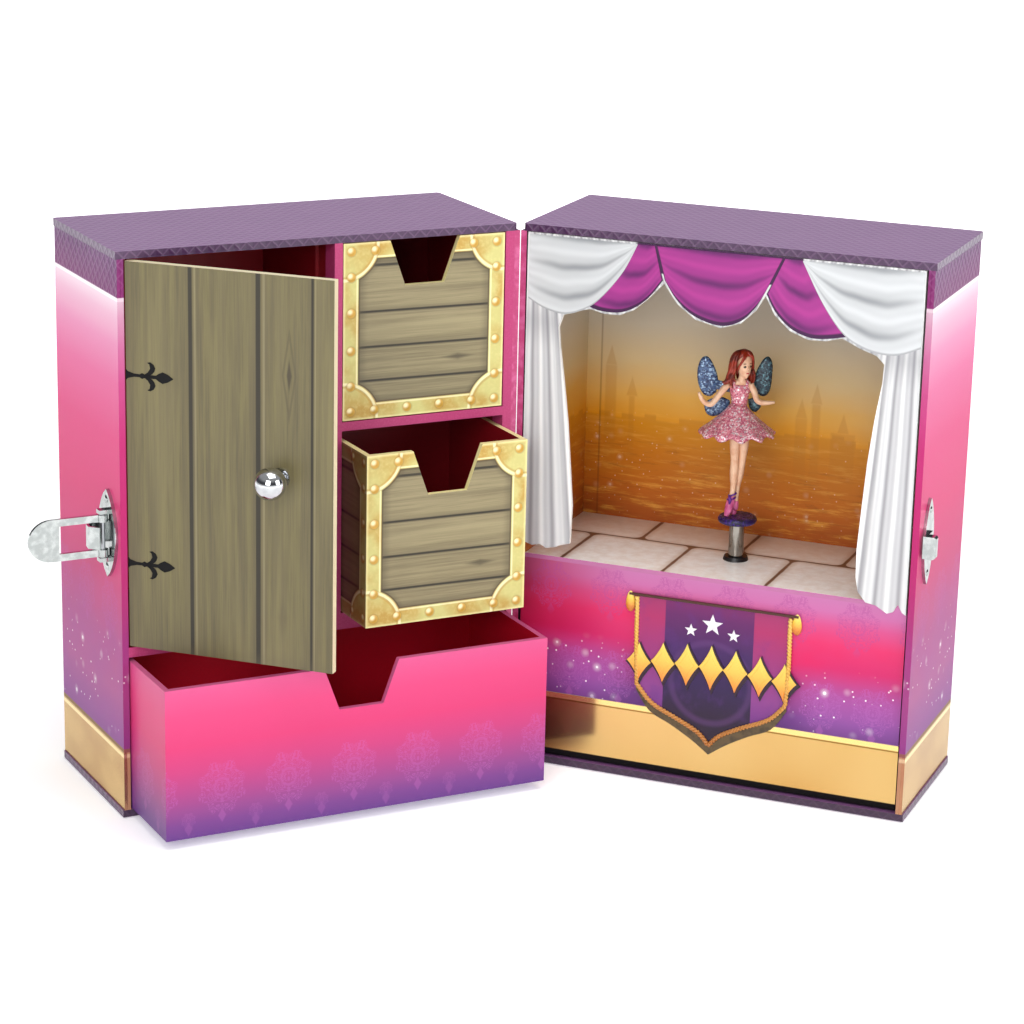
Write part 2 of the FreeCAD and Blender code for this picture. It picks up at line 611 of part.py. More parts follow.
def figurine_nodes():
    disc_top = DISC_Z + DISC_THICKNESS
    tube = Part.makeCylinder(2.75, DISC_Z - TUBE_FOOT_Z, vec(0, 0, TUBE_FOOT_Z), UP)
    tube = tube.cut(rod(SPINDLE_RADIUS, vec(0, 0, 80), vec(0, 0, 100)))
    disc = Part.makeCylinder(7.25, DISC_THICKNESS, vec(0, 0, DISC_Z), UP)
    legs = []
    for side in (-1, 1):
        foot = [vec(side * 1.7, -1.6, disc_top + 1.1), vec(side * 1.7, 0.8, disc_top + 1.3)]
        legs.append(limb(foot, [1.1, 1.3]))
        leg = [vec(side * 1.7, 0.8, disc_top + 1.6), vec(side * 1.8, 0.6, disc_top + 14.0),
               vec(side * 2.2, 0.3, disc_top + 20.0), vec(side * 2.4, 0.0, disc_top + 33.5)]
        legs.append(limb(leg, [1.15, 1.75, 1.7, 2.1]))
    sole = block(-4.0, 4.0, -4.0, 4.0, disc_top - 2.0, disc_top)
    legs = fuse(legs).cut(sole)
    skirt = lathe([(0.0, 134.0), (3.0, 135.2), (5.2, 133.2), (8.6, 130.6), (12.4, 128.2), (13.2, 127.0),
                   (12.8, 126.2), (9.0, 125.4), (5.0, 125.0), (0.0, 126.4)], ORIGIN)
    torso_body = lathe([(0.0, 133.0), (2.7, 133.0), (2.7, 135.6), (3.4, 138.6), (4.0, 140.6), (3.9, 142.6),
                        (2.6, 144.2), (1.4, 145.0), (1.3, 147.4), (0.0, 147.4)], ORIGIN)
    right_arm = limb([vec(-3.9, 0, 142.8), vec(-8.6, -0.6, 139.6), vec(-13.6, -1.6, 137.2)], [1.3, 1.05, 0.9])
    left_arm = limb([vec(3.9, 0, 142.8), vec(8.2, -0.8, 139.4), vec(12.0, -2.0, 137.6)], [1.3, 1.05, 0.9])
    torso = fuse([torso_body, right_arm, left_arm])
    head = fuse([ball(4.3, vec(0, -0.4, 150.4)), ball(4.7, vec(0, 0.6, 151.2)), ball(2.2, vec(0, 1.4, 154.6))])
    wings = fuse([wing_half(-1), wing_half(1), block(-0.9, 0.9, 3.2, 5.1, 136.0, 141.0)])
    skirt = skirt.cut(legs)
    torso = torso.cut(skirt)
    head = head.cut(torso)
    wings = wings.cut(torso).cut(head).cut(skirt)
    nodes = {
        "post_tube": tube,
        "turntable_disc": disc,
        "figurine_legs": legs,
        "figurine_skirt": skirt,
        "figurine_torso": torso,
        "figurine_head": head,
        "figurine_wings": wings,
    }
    return {name: turned(shape, FIGURE_FACING) for name, shape in nodes.items()}


# ---- assembly ----
def to_rest(shape):
    """Turn a shape from the stage's own frame to its open rest pose."""
    return turned(shape, OPEN_ANGLE - 180.0)


def build():
    """Return {body: {node: shape}} in the hinge frame, at rest."""
    upper, lower, wide = all_drawers()
    cabinet = cabinet_nodes()
    cabinet.update(clasp_nodes())
    stage = stage_board_nodes()
    stage["keeper_plate"] = keeper()
    stage.update(movement_nodes())
    stage = {name: to_rest(shape) for name, shape in stage.items()}
    spindle_foot = to_rest(Part.Vertex(SPINDLE_W, SPINDLE_D, 0)).Point
    figure = {name: moved(shape, spindle_foot.x, spindle_foot.y, 0)
              for name, shape in figurine_nodes().items()}
    spindle = {"spindle_drive": to_rest(spindle_drive()), "music_cylinder": to_rest(music_cylinder())}
    spindle.update(figure)
    return {
        "cabinet": cabinet,
        "stage": stage,
        "door": door_nodes(),
        "upper_drawer": upper,
        "lower_drawer": lower,
        "wide_drawer": wide,
        "hasp": {"hasp_loop": hasp_loop()},
        "spindle": spindle,
        "key": {name: to_rest(shape) for name, shape in key_nodes().items()},
        "governor": {"governor_fan": to_rest(governor())},
    }


def whole_box(bodies):
    box = FreeCAD.BoundBox()
    for nodes in bodies.values():
        for shape in nodes.values():
            shape.tessellate(0.05)
            box.add(shape.BoundBox)
    return box


def show_point(name, point):
    print("POINT", name, round(point.x, 4), round(point.y, 4), round(point.z, 4))


bodies = build()
box = whole_box(bodies)
to_origin = vec(-(box.XMin + box.XMax) / 2, -(box.YMin + box.YMax) / 2, -box.ZMin)
os.makedirs("parts", exist_ok=True)
for body, nodes in bodies.items():
    for node, shape in nodes.items():
        shape.translate(to_origin)
        shape.exportStep("parts/" + node + ".step")
        print("NODE", body, node, "valid", shape.isValid(), "solids", len(shape.Solids))
print("SIZE", round(box.XLength, 3), round(box.YLength, 3), round(box.ZLength, 3))
spindle_point = to_rest(Part.Vertex(SPINDLE_W, SPINDLE_D, 0)).Point
governor_point = to_rest(Part.Vertex(GOVERNOR_W, SPINDLE_D, 0)).Point
key_point = to_rest(Part.Vertex(SPINDLE_W, DEPTH, KEY_Z)).Point
show_point("spine_hinge", to_origin)
show_point("door_hinge", door_axis() + to_origin)
show_point("hasp_pivot", clasp_pivot() + to_origin)
show_point("spindle", spindle_point + to_origin)
show_point("governor", governor_point + to_origin)
show_point("key", key_point + to_origin)
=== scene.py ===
import json
import math
import random

import bpy
import bmesh
from mathutils import Matrix, Vector


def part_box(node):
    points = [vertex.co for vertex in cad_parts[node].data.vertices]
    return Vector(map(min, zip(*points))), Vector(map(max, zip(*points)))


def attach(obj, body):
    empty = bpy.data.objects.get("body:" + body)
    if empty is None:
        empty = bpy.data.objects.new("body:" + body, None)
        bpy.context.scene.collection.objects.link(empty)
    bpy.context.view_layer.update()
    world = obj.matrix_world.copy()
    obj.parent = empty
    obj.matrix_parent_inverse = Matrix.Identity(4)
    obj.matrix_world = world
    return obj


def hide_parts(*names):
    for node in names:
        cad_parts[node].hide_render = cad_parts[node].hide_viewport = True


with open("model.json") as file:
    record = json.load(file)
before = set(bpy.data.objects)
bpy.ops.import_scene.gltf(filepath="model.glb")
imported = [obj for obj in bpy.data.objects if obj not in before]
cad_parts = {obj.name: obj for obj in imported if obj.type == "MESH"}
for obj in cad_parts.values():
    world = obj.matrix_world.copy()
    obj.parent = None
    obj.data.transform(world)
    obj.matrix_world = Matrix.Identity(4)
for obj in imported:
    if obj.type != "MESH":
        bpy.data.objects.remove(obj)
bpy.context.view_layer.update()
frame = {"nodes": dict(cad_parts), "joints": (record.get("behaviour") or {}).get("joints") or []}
NODES = frame["nodes"]
JOINTS = {joint["name"]: joint for joint in frame["joints"]}
MM = 0.001

# ---- the two halves' own frames, in the row frame ----
HINGE = Vector((JOINTS["box_hinge"]["pos_m"][0], JOINTS["box_hinge"]["pos_m"][1], 0))
EAST, NORTH, UP = Vector((1, 0, 0)), Vector((0, 1, 0)), Vector((0, 0, 1))
DEPTH_DIR = Vector(JOINTS["key_turn"]["axis"])
ACROSS_DIR = DEPTH_DIR.cross(UP)
CABINET = (HINGE, Vector((-1, 0, 0)), Vector((0, 1, 0)))
STAGE = (HINGE, ACROSS_DIR, DEPTH_DIR)
DOOR_PIVOT = Vector(JOINTS["door_hinge"]["pos_m"][:2] + [0])
DOOR_REST = math.radians(46)
DOOR_DIR = Vector((math.cos(DOOR_REST), -math.sin(DOOR_REST), 0))
DOOR_BACK = Vector((math.sin(DOOR_REST), math.cos(DOOR_REST), 0))
DOOR = (DOOR_PIVOT, DOOR_DIR, DOOR_BACK)


def place(half, across, depth, z):
    """Row-frame point from a half's own millimetres."""
    origin, across_dir, depth_dir = half
    return origin + (across_dir * across + depth_dir * depth + UP * z) * MM


# ---- a small notation for node materials ----
def srgb(text):
    """Linear colour from six hexadecimal digits."""
    values = [int(text[i:i + 2], 16) / 255 for i in (0, 2, 4)]
    linear = [v / 12.92 if v <= 0.04045 else ((v + 0.055) / 1.055) ** 2.4 for v in values]
    return (*linear, 1.0)


def fill_ramp(node, stops):
    """Give a colour ramp node its (position, colour) stops."""
    elements = node.color_ramp.elements
    while len(elements) > 1:
        elements.remove(elements[-1])
    elements[0].position, elements[0].color = stops[0]
    for position, colour in stops[1:]:
        elements.new(position).color = colour


class Value:
    """One number in a material; ordinary arithmetic adds Math nodes."""

    def __init__(self, net, socket):
        self.net = net
        self.socket = socket

    def op(self, kind, *others, clamp=False):
        inputs = dict(enumerate((self,) + others))
        return Value(self.net, self.net.node("Math", inputs, operation=kind, use_clamp=clamp).outputs[0])

    def __neg__(self):
        return self * -1.0

    def __rsub__(self, other):
        return other + -self

    def clamp(self):
        return self.op("ADD", 0.0, clamp=True)

    def step(self, start, end):
        """0 before start, 1 after end, smooth between (start may be above end)."""
        low, high, first, last = (start, end, 0.0, 1.0) if start < end else (end, start, 1.0, 0.0)
        limits = {"Value": self, "From Min": low, "From Max": high, "To Min": first, "To Max": last}
        node = self.net.node("MapRange", limits, interpolation_type="SMOOTHSTEP")
        return Value(self.net, node.outputs["Result"])

    def band(self, low, high, soft):
        """1 between low and high, with soft edges."""
        return self.step(low - soft, low + soft) * self.step(high + soft, high - soft)

    def near(self, centre, width, soft):
        """1 within half of width of the centre."""
        return (self - centre).abs().step(width / 2 + soft, width / 2 - soft)


MATH_NODES = {"__add__": "ADD", "__radd__": "ADD", "__sub__": "SUBTRACT", "__mul__": "MULTIPLY",
              "__rmul__": "MULTIPLY", "__truediv__": "DIVIDE", "abs": "ABSOLUTE", "sin": "SINE",
              "cos": "COSINE", "sqrt": "SQRT", "mod": "FLOORED_MODULO", "floor": "FLOOR", "power": "POWER",
              "low": "MINIMUM", "high": "MAXIMUM", "angle": "ARCTAN2"}
for method, operation in MATH_NODES.items():
    setattr(Value, method, lambda self, *others, operation=operation: self.op(operation, *others))


PAINT_SOCKETS = {"rough": "Roughness", "metal": "Metallic", "coat": "Coat Weight",
                 "specular": "Specular IOR Level"}


class Net:
    """A material under construction, with its Principled shader."""

    def __init__(self, name):
        self.material = bpy.data.materials.new(name)
        self.material.use_nodes = True
        self.tree = self.material.node_tree
        self.shader = self.tree.nodes["Principled BSDF"]
        self.coordinates = None

    def feed(self, socket, item):
        if isinstance(item, Value):
            self.tree.links.new(item.socket, socket)
        elif hasattr(item, "is_output"):
            self.tree.links.new(item, socket)
        else:
            socket.default_value = item

    def node(self, kind, inputs, **settings):
        """New shader node with its settings made and its inputs fed, by name or by number."""
        made = self.tree.nodes.new("ShaderNode" + kind)
        for name, value in settings.items():
            setattr(made, name, value)
        for name, item in inputs.items():
            self.feed(made.inputs[name], item)
        return made

    def texture_coordinate(self, output):
        if self.coordinates is None:
            self.coordinates = self.node("TexCoord", {})
        return self.coordinates.outputs[output]

    def dot(self, vector_socket, direction):
        node = self.node("VectorMath", {0: vector_socket, 1: direction}, operation="DOT_PRODUCT")
        return Value(self, node.outputs["Value"])

    def along(self, origin, direction):
        """Distance in mm from origin along a direction, from the object's own coordinates."""
        reach = self.dot(self.texture_coordinate("Object"), direction)
        return (reach - origin.dot(direction)) / MM

    def half(self, half):
        origin, across_dir, depth_dir = half
        return self.along(origin, across_dir), self.along(origin, depth_dir), self.along(origin, UP)

    def place_mm(self):
        return tuple(self.along(HINGE, axis) for axis in (EAST, NORTH, UP))

    def facing(self, direction, start=0.6, end=0.9):
        """1 on faces turned towards a direction, 0 on the others."""
        return self.dot(self.texture_coordinate("Normal"), direction).step(start, end)

    def sideways(self, direction, start=0.5, end=0.8):
        """1 on faces turned towards a direction or straight away from it."""
        return self.dot(self.texture_coordinate("Normal"), direction).abs().step(start, end)

    def uv(self):
        node = self.node("SeparateXYZ", {0: self.texture_coordinate("UV")})
        return Value(self, node.outputs[0]), Value(self, node.outputs[1])

    def join(self, x, y, z):
        return self.node("CombineXYZ", {0: x, 1: y, 2: z}).outputs[0]

    def noise(self, place_mm, scale, detail=3.0, rough=0.5):
        """Cloudy value, from three coordinates."""
        inputs = {"Vector": self.join(*place_mm), "Scale": scale, "Detail": detail, "Roughness": rough}
        return Value(self, self.node("TexNoise", inputs).outputs["Fac"])

    def cells(self, place_mm, scale):
        """Distance to the nearest random point, and a random number for that point."""
        node = self.node("TexVoronoi", {"Vector": self.join(*place_mm), "Scale": scale})
        split = self.node("SeparateColor", {0: node.outputs["Color"]})
        return Value(self, node.outputs["Distance"]), Value(self, split.outputs[0])

    def ramp(self, value, low, high, stops):
        """Colour from a list of (value, hex) stops between low and high."""
        node = self.node("ValToRGB", {0: (value - low) / (high - low)})
        fill_ramp(node, [((position - low) / (high - low), srgb(colour)) for position, colour in stops])
        return node.outputs[0]

    def mix(self, factor, first, second):
        """Colour first where factor is 0, second where it is 1."""
        colours = [srgb(item) if isinstance(item, str) else item for item in (first, second)]
        return self.node("Mix", {"Factor": factor, 6: colours[0], 7: colours[1]}, data_type="RGBA").outputs[2]

    def layers(self, colour, coats):
        """The colour with each (mask, colour) coat laid over it in turn."""
        for mask, coat in coats:
            colour = self.mix(mask, colour, coat)
        return colour

    def paint(self, colour=None, **settings):
        inputs = self.shader.inputs
        if colour is not None:
            self.feed(inputs["Base Color"], srgb(colour) if isinstance(colour, str) else colour)
        for name, item in settings.items():
            self.feed(inputs[PAINT_SOCKETS[name]], item)
        return self

    def bump(self, height, distance_mm, strength=1.0):
        node = self.node("Bump", {"Strength": strength, "Distance": distance_mm * MM, "Height": height})
        if self.shader.inputs["Normal"].is_linked:
            self.tree.links.new(self.shader.inputs["Normal"].links[0].from_socket, node.inputs["Normal"])
        self.tree.links.new(node.outputs[0], self.shader.inputs["Normal"])
        return self


# ---- materials ----
LEATHER_PITCH = 4.6
VIOLET_BAND_Z = 184.4
FOIL_Z = 24.0


def zigzag(run, pitch):
    """1 on lines a pitch apart, 0 midway between them."""
    return (run.mod(pitch) - pitch / 2).abs() / (pitch / 2)


def leatherette(net, half):
    """Colour and height of the violet wrap, embossed with small diamonds; its lattice lines carry a painted
    highlight.
    """
    across, depth, z = net.half(half)
    side = net.sideways(half[1])
    rise = zigzag(across + depth + z, LEATHER_PITCH)
    fall = zigzag(across - depth - z + z * side * 2.0, LEATHER_PITCH)
    groove = rise.high(fall)
    line = groove.step(0.74, 0.92)
    grain = net.noise((across, depth, z), 1.1, 4.0, 0.6)
    cloud = net.noise((across, depth, z), 0.05, 2.0)
    colour = net.mix(cloud.step(0.35, 0.65), "4e2a5c", "5c3866")
    # painted highlight: the embossed lattice lines are coloured lighter, for light on their ridges
    colour = net.layers(colour, (
        (grain.step(0.4, 0.75) * 0.3, "8a6a92"),
        (line * 0.45, "aa82b0"),
    ))
    return colour, groove * groove + grain * 0.35


def sparkles(net, across, z, size, share):
    """Mask of scattered round sparkles, small dots and a few larger ones with a halo."""
    distance, pick = net.cells((across, z, 0.0), 1.0 / size)
    dots = distance.step(0.16, 0.08) * pick.step(1.0 - share, 1.0 - share + 0.01)
    distance2, pick2 = net.cells((across, z, 7.0), 0.45 / size)
    chosen = pick2.step(1.0 - share * 0.6, 1.01 - share * 0.6)
    big = distance2.step(0.14, 0.06) * chosen
    halo = distance2.step(0.4, 0.0) * chosen * 0.4
    return (dots + big + halo).clamp()


def medallion(net, across, z, pitch, centre_z, radius):
    """Faint damask medallions in a row, each the mirror of itself about its middle."""
    x = across.mod(pitch) - pitch / 2
    y = z - centre_z
    size = 3.4 / radius
    swirl = net.noise((x.abs() * size, y * size, 4.0), 1.0, 1.0)
    curls = (swirl * 52.0).sin().step(0.0, 0.6)
    turn = y.angle(x)
    reach = (x * x + y * y * 0.8).sqrt() / radius
    outline = (reach + (turn * 8.0).cos() * 0.10).step(1.0, 0.93)
    heart = reach.near(0.32, 0.07, 0.05)
    tail = (x.abs() * 0.62 + (y + radius * 1.2).abs() * 0.36).step(1.1, 0.7)
    return (curls * outline + heart + tail).clamp()


OUTSIDE = [(22, "7c4088"), (30, "95488c"), (44, "ae5088"), (62, "b2427c"), (84, "c43070"), (110, "d42c70"),
           (135, "d8367a"), (155, "dc5c94"), (168, "e086b0"), (178, "e6b2ca"), (184, "f0dbe6")]


def wrapped_wall(name, half, inside):
    """Printed paper over board: violet top band, pink fade, purple with stars, foil foot, pink spine edge
    with a painted highlight line.
    """
    net = Net(name)
    across, depth, z = net.half(half)
    inner = across.band(2.0, 148.3, 0.2) * depth.step(63.8, 63.1)
    run = across + depth
    clouds = net.noise((run * 0.06, z * 0.06, 0.0), 1.0, 3.0) * z.band(26, 76, 14)
    lace = medallion(net, run - 6.0, z, 24.0, 74.0, 8.5)
    stars = sparkles(net, run, z, 3.0, 0.6) * z.band(28, 58, 12)
    violet, height = leatherette(net, half)
    top = z.step(VIOLET_BAND_Z - 0.2, VIOLET_BAND_Z + 0.2)
    foil = z.step(FOIL_Z + 0.2, FOIL_Z - 0.2)
    tint = net.noise((run * 0.03, z * 0.05, 3.0), 1.0, 2.0)
    printed = net.layers(net.ramp(z, 0.0, 200.0, OUTSIDE), (
        (clouds * 0.40, "7d4aa6"),
        (lace * 0.18, "b45cae"),
        (stars * 0.95, "ffffff"),
        (z.near(VIOLET_BAND_Z - 0.7, 1.2, 0.2), "fff4fb"),
        (top, net.mix(z.step(204, 182) * 0.85, violet, "7a2c6a")),
        (foil, net.mix(tint.step(0.35, 0.65), "be9450", "cfab64")),
        (z.near(FOIL_Z + 0.6, 1.3, 0.2), "8a6a34"),
        (z.near(FOIL_Z - 1.4, 1.4, 0.3), "fbe3a4"),
    ))
    facing_front = net.facing(-half[2], 0.5, 0.8)
    front = facing_front * across.step(12, 8)
    colour = net.layers(printed, (
        (inner, inside),
        # painted highlight: a lighter line along the front edge near the hinge end
        (front, net.mix(across.near(1.2, 0.5, 0.25) * 0.6, "b4306a", "e48cb2")),
        (facing_front * across.step(146, 147), net.mix(0.45, printed, "8a1a60")),
    ))
    outer = (1.0 - inner) * (1.0 - front)
    shine = foil * outer
    net.paint(colour, rough=0.42 - shine * 0.2, metal=shine * 0.8, specular=0.22)
    net.bump(height * top * outer, 0.3, 0.8)
    return net.bump(net.noise((across, depth, z), 2.2, 3.0), 0.05, 0.5).material


def leather_board(name, half, inside):
    """Top or bottom board: embossed wrap outside, lining colour on the face inside the box; painted shade on
    its front and clasp-side faces, a painted sheen on its top.
    """
    net = Net(name)
    across, depth, z = net.half(half)
    colour, height = leatherette(net, half)
    inner = z.band(2.0, 198.0, 0.2) * across.band(1.6, 149.3, 0.1) * depth.band(0.15, 64.2, 0.1)
    front = net.facing(-half[2], 0.5, 0.8)
    colour = net.layers(colour, (
        (inner, inside),
        # painted shade on the front faces, darker still low on the bottom board, and on the faces towards the
        # clasp side; painted sheen lightens the faces turned up
        (front * 0.65, "300c30"),
        (front * z.step(3.0, 2.6) * 0.7, "2a1030"),
        (net.facing(half[1], 0.5, 0.8) * 0.5, "3a1a40"),
        (net.facing(UP, 0.5, 0.8) * 0.6, "96669e"),
    ))
    net.paint(colour, rough=0.38, specular=0.5, coat=0.2)
    return net.bump(height, 0.16, 1.0).material


LINING = "8a0a18"
EDGE_PINK = "b4386e"
EDGE_WRAP_DEPTH = 8.0


def lined_board(name, half):
    """Inner board: dark red lining, pink paper over its front edge and a little way back."""
    net = Net(name)
    across, depth, z = net.half(half)
    front = net.facing(-half[2], 0.5, 0.8) * depth.step(0.5, 0.3)
    weave = net.noise((across, depth, z), 1.4, 4.0)
    broad = net.noise((across, depth, z), 0.05, 2.0)
    colour = net.mix(weave * 0.5, LINING, "4c030a")
    turned_in = net.sideways(half[1]) * depth.step(EDGE_WRAP_DEPTH + 0.2, EDGE_WRAP_DEPTH - 0.2)
    colour = net.layers(colour, (
        (broad.step(0.4, 0.7) * 0.35, "820b1e"),
        (front.high(turned_in), net.mix(weave.step(0.4, 0.7) * 0.12, EDGE_PINK, "e070a2")),
    ))
    net.paint(colour, rough=0.5, specular=0.4)
    return net.bump(weave, 0.06, 0.5).material


def wood_print(net, along, cross, seed, tones=("7c7152", "988c68", "675d42", "aa9e76")):
    """Olive-brown printed timber: grain runs along; grooves are added by the caller."""
    grain = net.noise((along * 0.015, cross * 0.55, seed), 1.0, 6.0, 0.65)
    fine = net.noise((along * 0.05, cross * 3.0, seed + 3.0), 1.0, 3.0, 0.6)
    broad = net.noise((along * 0.01, cross * 0.12, seed + 6.0), 1.0, 2.0)
    colour = net.mix(grain.step(0.32, 0.68), tones[0], tones[1])
    colour = net.layers(colour, (
        (fine.step(0.45, 0.75) * 0.5, tones[2]),
        (broad.step(0.45, 0.7) * 0.35, tones[3]),
    ))
    return colour, grain


def groove(net, offset, width, colour, shadow):
    """Dark joint between planks, with a painted soft shadow round it and a painted highlight along its edge
    after it.
    """
    # painted shadow round the joint, then a painted highlight just past it
    colour = net.layers(colour, (
        (offset.abs().step(width * 3.2, 0.0) * 0.45, shadow),
        (offset.near(width * 1.2, width * 0.5, 0.2) * 0.25, "b4a880"),
    ))
    return net.mix(offset.near(0.0, width, 0.2), colour, "2a2416")


DOOR_JOINTS = ((23.7, 1.4), (48.1, 1.7), (67.4, 0.9))


def door_material():
    """Planks with dark joints and one tall knot; dark red behind, pale cut edges."""
    net = Net("door planks")
    s, _, z = net.half(DOOR)
    colour, grain = wood_print(net, z, s, 1.0, ("5e553b", "736a43", "4a422b", "80764f"))
    for joint, width in DOOR_JOINTS:
        colour = groove(net, s - joint, width, colour, "5a5038")
    knot = (s - 59.2).abs() * 4.6 + (z - 163.6).abs() * 0.75
    rings = (knot * 0.75).sin() * 0.5 + 0.5
    colour = net.layers(colour, (
        (knot.step(17.0, 14.0) * rings.step(0.4, 0.9) * 0.6, "554b34"),
        (knot.step(6.0, 1.5) * 0.8, "3a3122"),
    ))
    mark = (s - 57.0).abs() * 3.4 + (z - 80.0).abs() * 0.8
    edge = s.step(3.5, 0.3).high(z.step(68.0, 63.0) * 0.6)
    front = net.facing(-DOOR_BACK, 0.7, 0.9)
    colour = net.layers(colour, (
        (mark.step(9.0, 2.0) * 0.35, "554b34"),
        (edge * 0.4, "5a5038"),
        (1.0 - front, "e6d9b4"),
        (net.facing(DOOR_BACK, 0.7, 0.9), "6a0612"),
    ))
    net.paint(colour, rough=0.42, specular=0.5)
    return net.bump(grain * front, 0.12, 0.4).material


FRAME_WIDTH = 5.8
PLATE_RADIUS = 14.0
STUD_STEPS = (3.0, 12.0, 24.6)


def stud_distance(edge_a, edge_b):
    """Distance in mm to the nearest stud, from the distances to the two nearest edges."""
    nearest = None
    for low_edge, along_edge in ((edge_a, edge_b), (edge_b, edge_a)):
        for step in STUD_STEPS:
            across = low_edge - 3.0
            up = along_edge - step
            square = across * across + up * up
            nearest = square if nearest is None else nearest.low(square)
    return nearest.sqrt()


def brass_print(net, a, b, wide, tall, colour):
    """Printed brass edging, quarter-round corner plates and domed studs over a plank print; painted shade on
    the planks along the frame, a painted highlight and shadow ring on each stud.
    """
    edge_a = a.low(wide - a)
    edge_b = b.low(tall - b)
    edge = edge_a.low(edge_b)
    corner = (edge_a * edge_a + edge_b * edge_b).sqrt()
    corner_plate = corner.step(PLATE_RADIUS, PLATE_RADIUS - 0.2)
    brass = edge.step(FRAME_WIDTH + 0.1, FRAME_WIDTH - 0.1).high(corner_plate)
    # painted shadow on the planks just inside the frame and round the corner plates
    colour = net.layers(colour, (
        (edge.step(FRAME_WIDTH + 4.0, FRAME_WIDTH) * 0.45, "4e452f"),
        (corner.step(PLATE_RADIUS + 2.5, PLATE_RADIUS) * 0.4, "4e452f"),
    ))
    tint = net.noise((a * 0.06, b * 0.06, 0.0), 1.0, 2.0)
    cast = net.noise((a, b, 2.0), 0.8, 3.0)
    gold = net.mix(tint.step(0.36, 0.6), "bf9a46", "cdc67c")
    gold = net.layers(gold, (
        (cast.step(0.4, 0.8) * 0.3, "e6da94"),
        (edge.step(1.1, 0.1) * 0.7, "f2e8a8"),
    ))
    inner_line = edge.near(FRAME_WIDTH - 0.6, 0.6, 0.2) * corner.step(PLATE_RADIUS - 0.5, PLATE_RADIUS)
    gold = net.mix(inner_line * 0.7, gold, "fbf3bd")
    raised = corner.near(PLATE_RADIUS - 1.0, 1.0, 0.25)
    gold = net.layers(gold, (
        (raised * 0.8, "fff6c4"),
        (corner.near(PLATE_RADIUS - 2.0, 0.6, 0.3) * 0.5, "b7862f"),
    ))
    left = (a * 2.0 - wide).step(-0.1, 0.1) * -2.0 + 1.0
    below = (b * 2.0 - tall).step(-0.1, 0.1) * -2.0 + 1.0
    radius = stud_distance(edge_a, edge_b)
    lit = stud_distance(edge_a + left * 0.55, edge_b - below * 0.55)
    dome = radius.step(1.7, 0.2)
    # painted shadow ring round each stud and a painted highlight towards its upper left
    gold = net.layers(gold, (
        (radius.step(2.3, 1.5) * 0.45, "8f6a26"),
        (radius.step(1.75, 1.45), "cfa244"),
        (lit.step(1.5, 0.2) * radius.step(1.75, 1.45), "fff4c0"),
    ))
    colour = net.mix(brass, colour, gold)
    outline = (edge - FRAME_WIDTH - 0.2).abs().step(0.5, 0.1) * (1.0 - corner_plate)
    arc = (corner - PLATE_RADIUS - 0.1).abs().step(0.5, 0.1) * edge.step(FRAME_WIDTH - 0.3, FRAME_WIDTH)
    colour = net.mix(outline.high(arc) * 0.8, colour, "57452a")
    return colour, brass, dome * 1.4 + raised * 0.6 + brass * 0.5


def drawer_frame(net, front_node):
    """Distances in mm from a drawer's low corner, its size, and masks of its faces, rims and notch."""
    low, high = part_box(front_node)
    tray_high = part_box(front_node.replace("front", "tray"))[1]
    wide = (high.x - low.x) / MM
    tall = (high.z - low.z) / MM
    deep = (tray_high.y - low.y) / MM
    x, y, z = (net.along(low, axis) for axis in (EAST, NORTH, UP))
    front = net.facing(-NORTH, 0.7, 0.9) * y.step(0.3, 0.1)
    side_face = net.sideways(EAST, 0.7, 0.9)
    side = side_face * (x.step(0.3, 0.1).high(x.step(wide - 0.3, wide - 0.1)))
    rim = net.facing(UP) * z.step(tall - 0.6, tall - 0.2)
    cut = (1.0 - net.sideways(NORTH, 0.5, 0.9)) * y.step(2.15, 2.0)
    notch = cut * x.band(3.0, wide - 3.0, 0.2) * z.step(tall - 18.0, tall - 17.5)
    return x, y, z, (wide, tall, deep), front, side, rim.high(notch), side_face


CHEST_JOINTS = ((8.0, 0.9), (24.3, 0.8), (36.8, 0.8), (48.8, 0.8))


def chest_drawer(name, front_node):
    """Material of a small drawer: printed chest outside, painted reddish shade on its sides, dark red lining
    inside.
    """
    net = Net(name)
    x, y, z, size, front, side, rim, side_face = drawer_frame(net, front_node)
    wide, tall, deep = size
    a = x * (1.0 - side_face) + y * side_face
    span = side_face * (deep - wide) + wide
    colour = wood_print(net, a, z, 5.0)[0]
    down = z * -1.0 + tall
    for below, width in CHEST_JOINTS:
        colour = groove(net, down - below - a * 0.012, width, colour, "5a5038")
    knot = (a - 44.0).abs() * 0.55 + (down - 43.0).abs() * 3.0
    colour = net.mix(knot.step(5.0, 1.0) * 0.75, colour, "443b28")
    colour, brass, relief = brass_print(net, a, z, span, tall, colour)
    # painted shade: the print on the drawer's sides is darkened and reddened as if in shadow
    colour = net.mix(side * 0.45, colour, "5c1a12")
    outside = front.high(side)
    weave = net.noise((x, y, z), 1.4, 4.0)
    colour = net.layers(colour, (
        (1.0 - outside, net.mix(weave * 0.5, "8c0c1a", "5c040c")),
        (rim, "e6da9c"),
    ))
    net.paint(colour, rough=0.42, metal=outside * brass * 0.1, specular=0.5)
    return net.bump(relief * outside, 0.3, 0.7).material


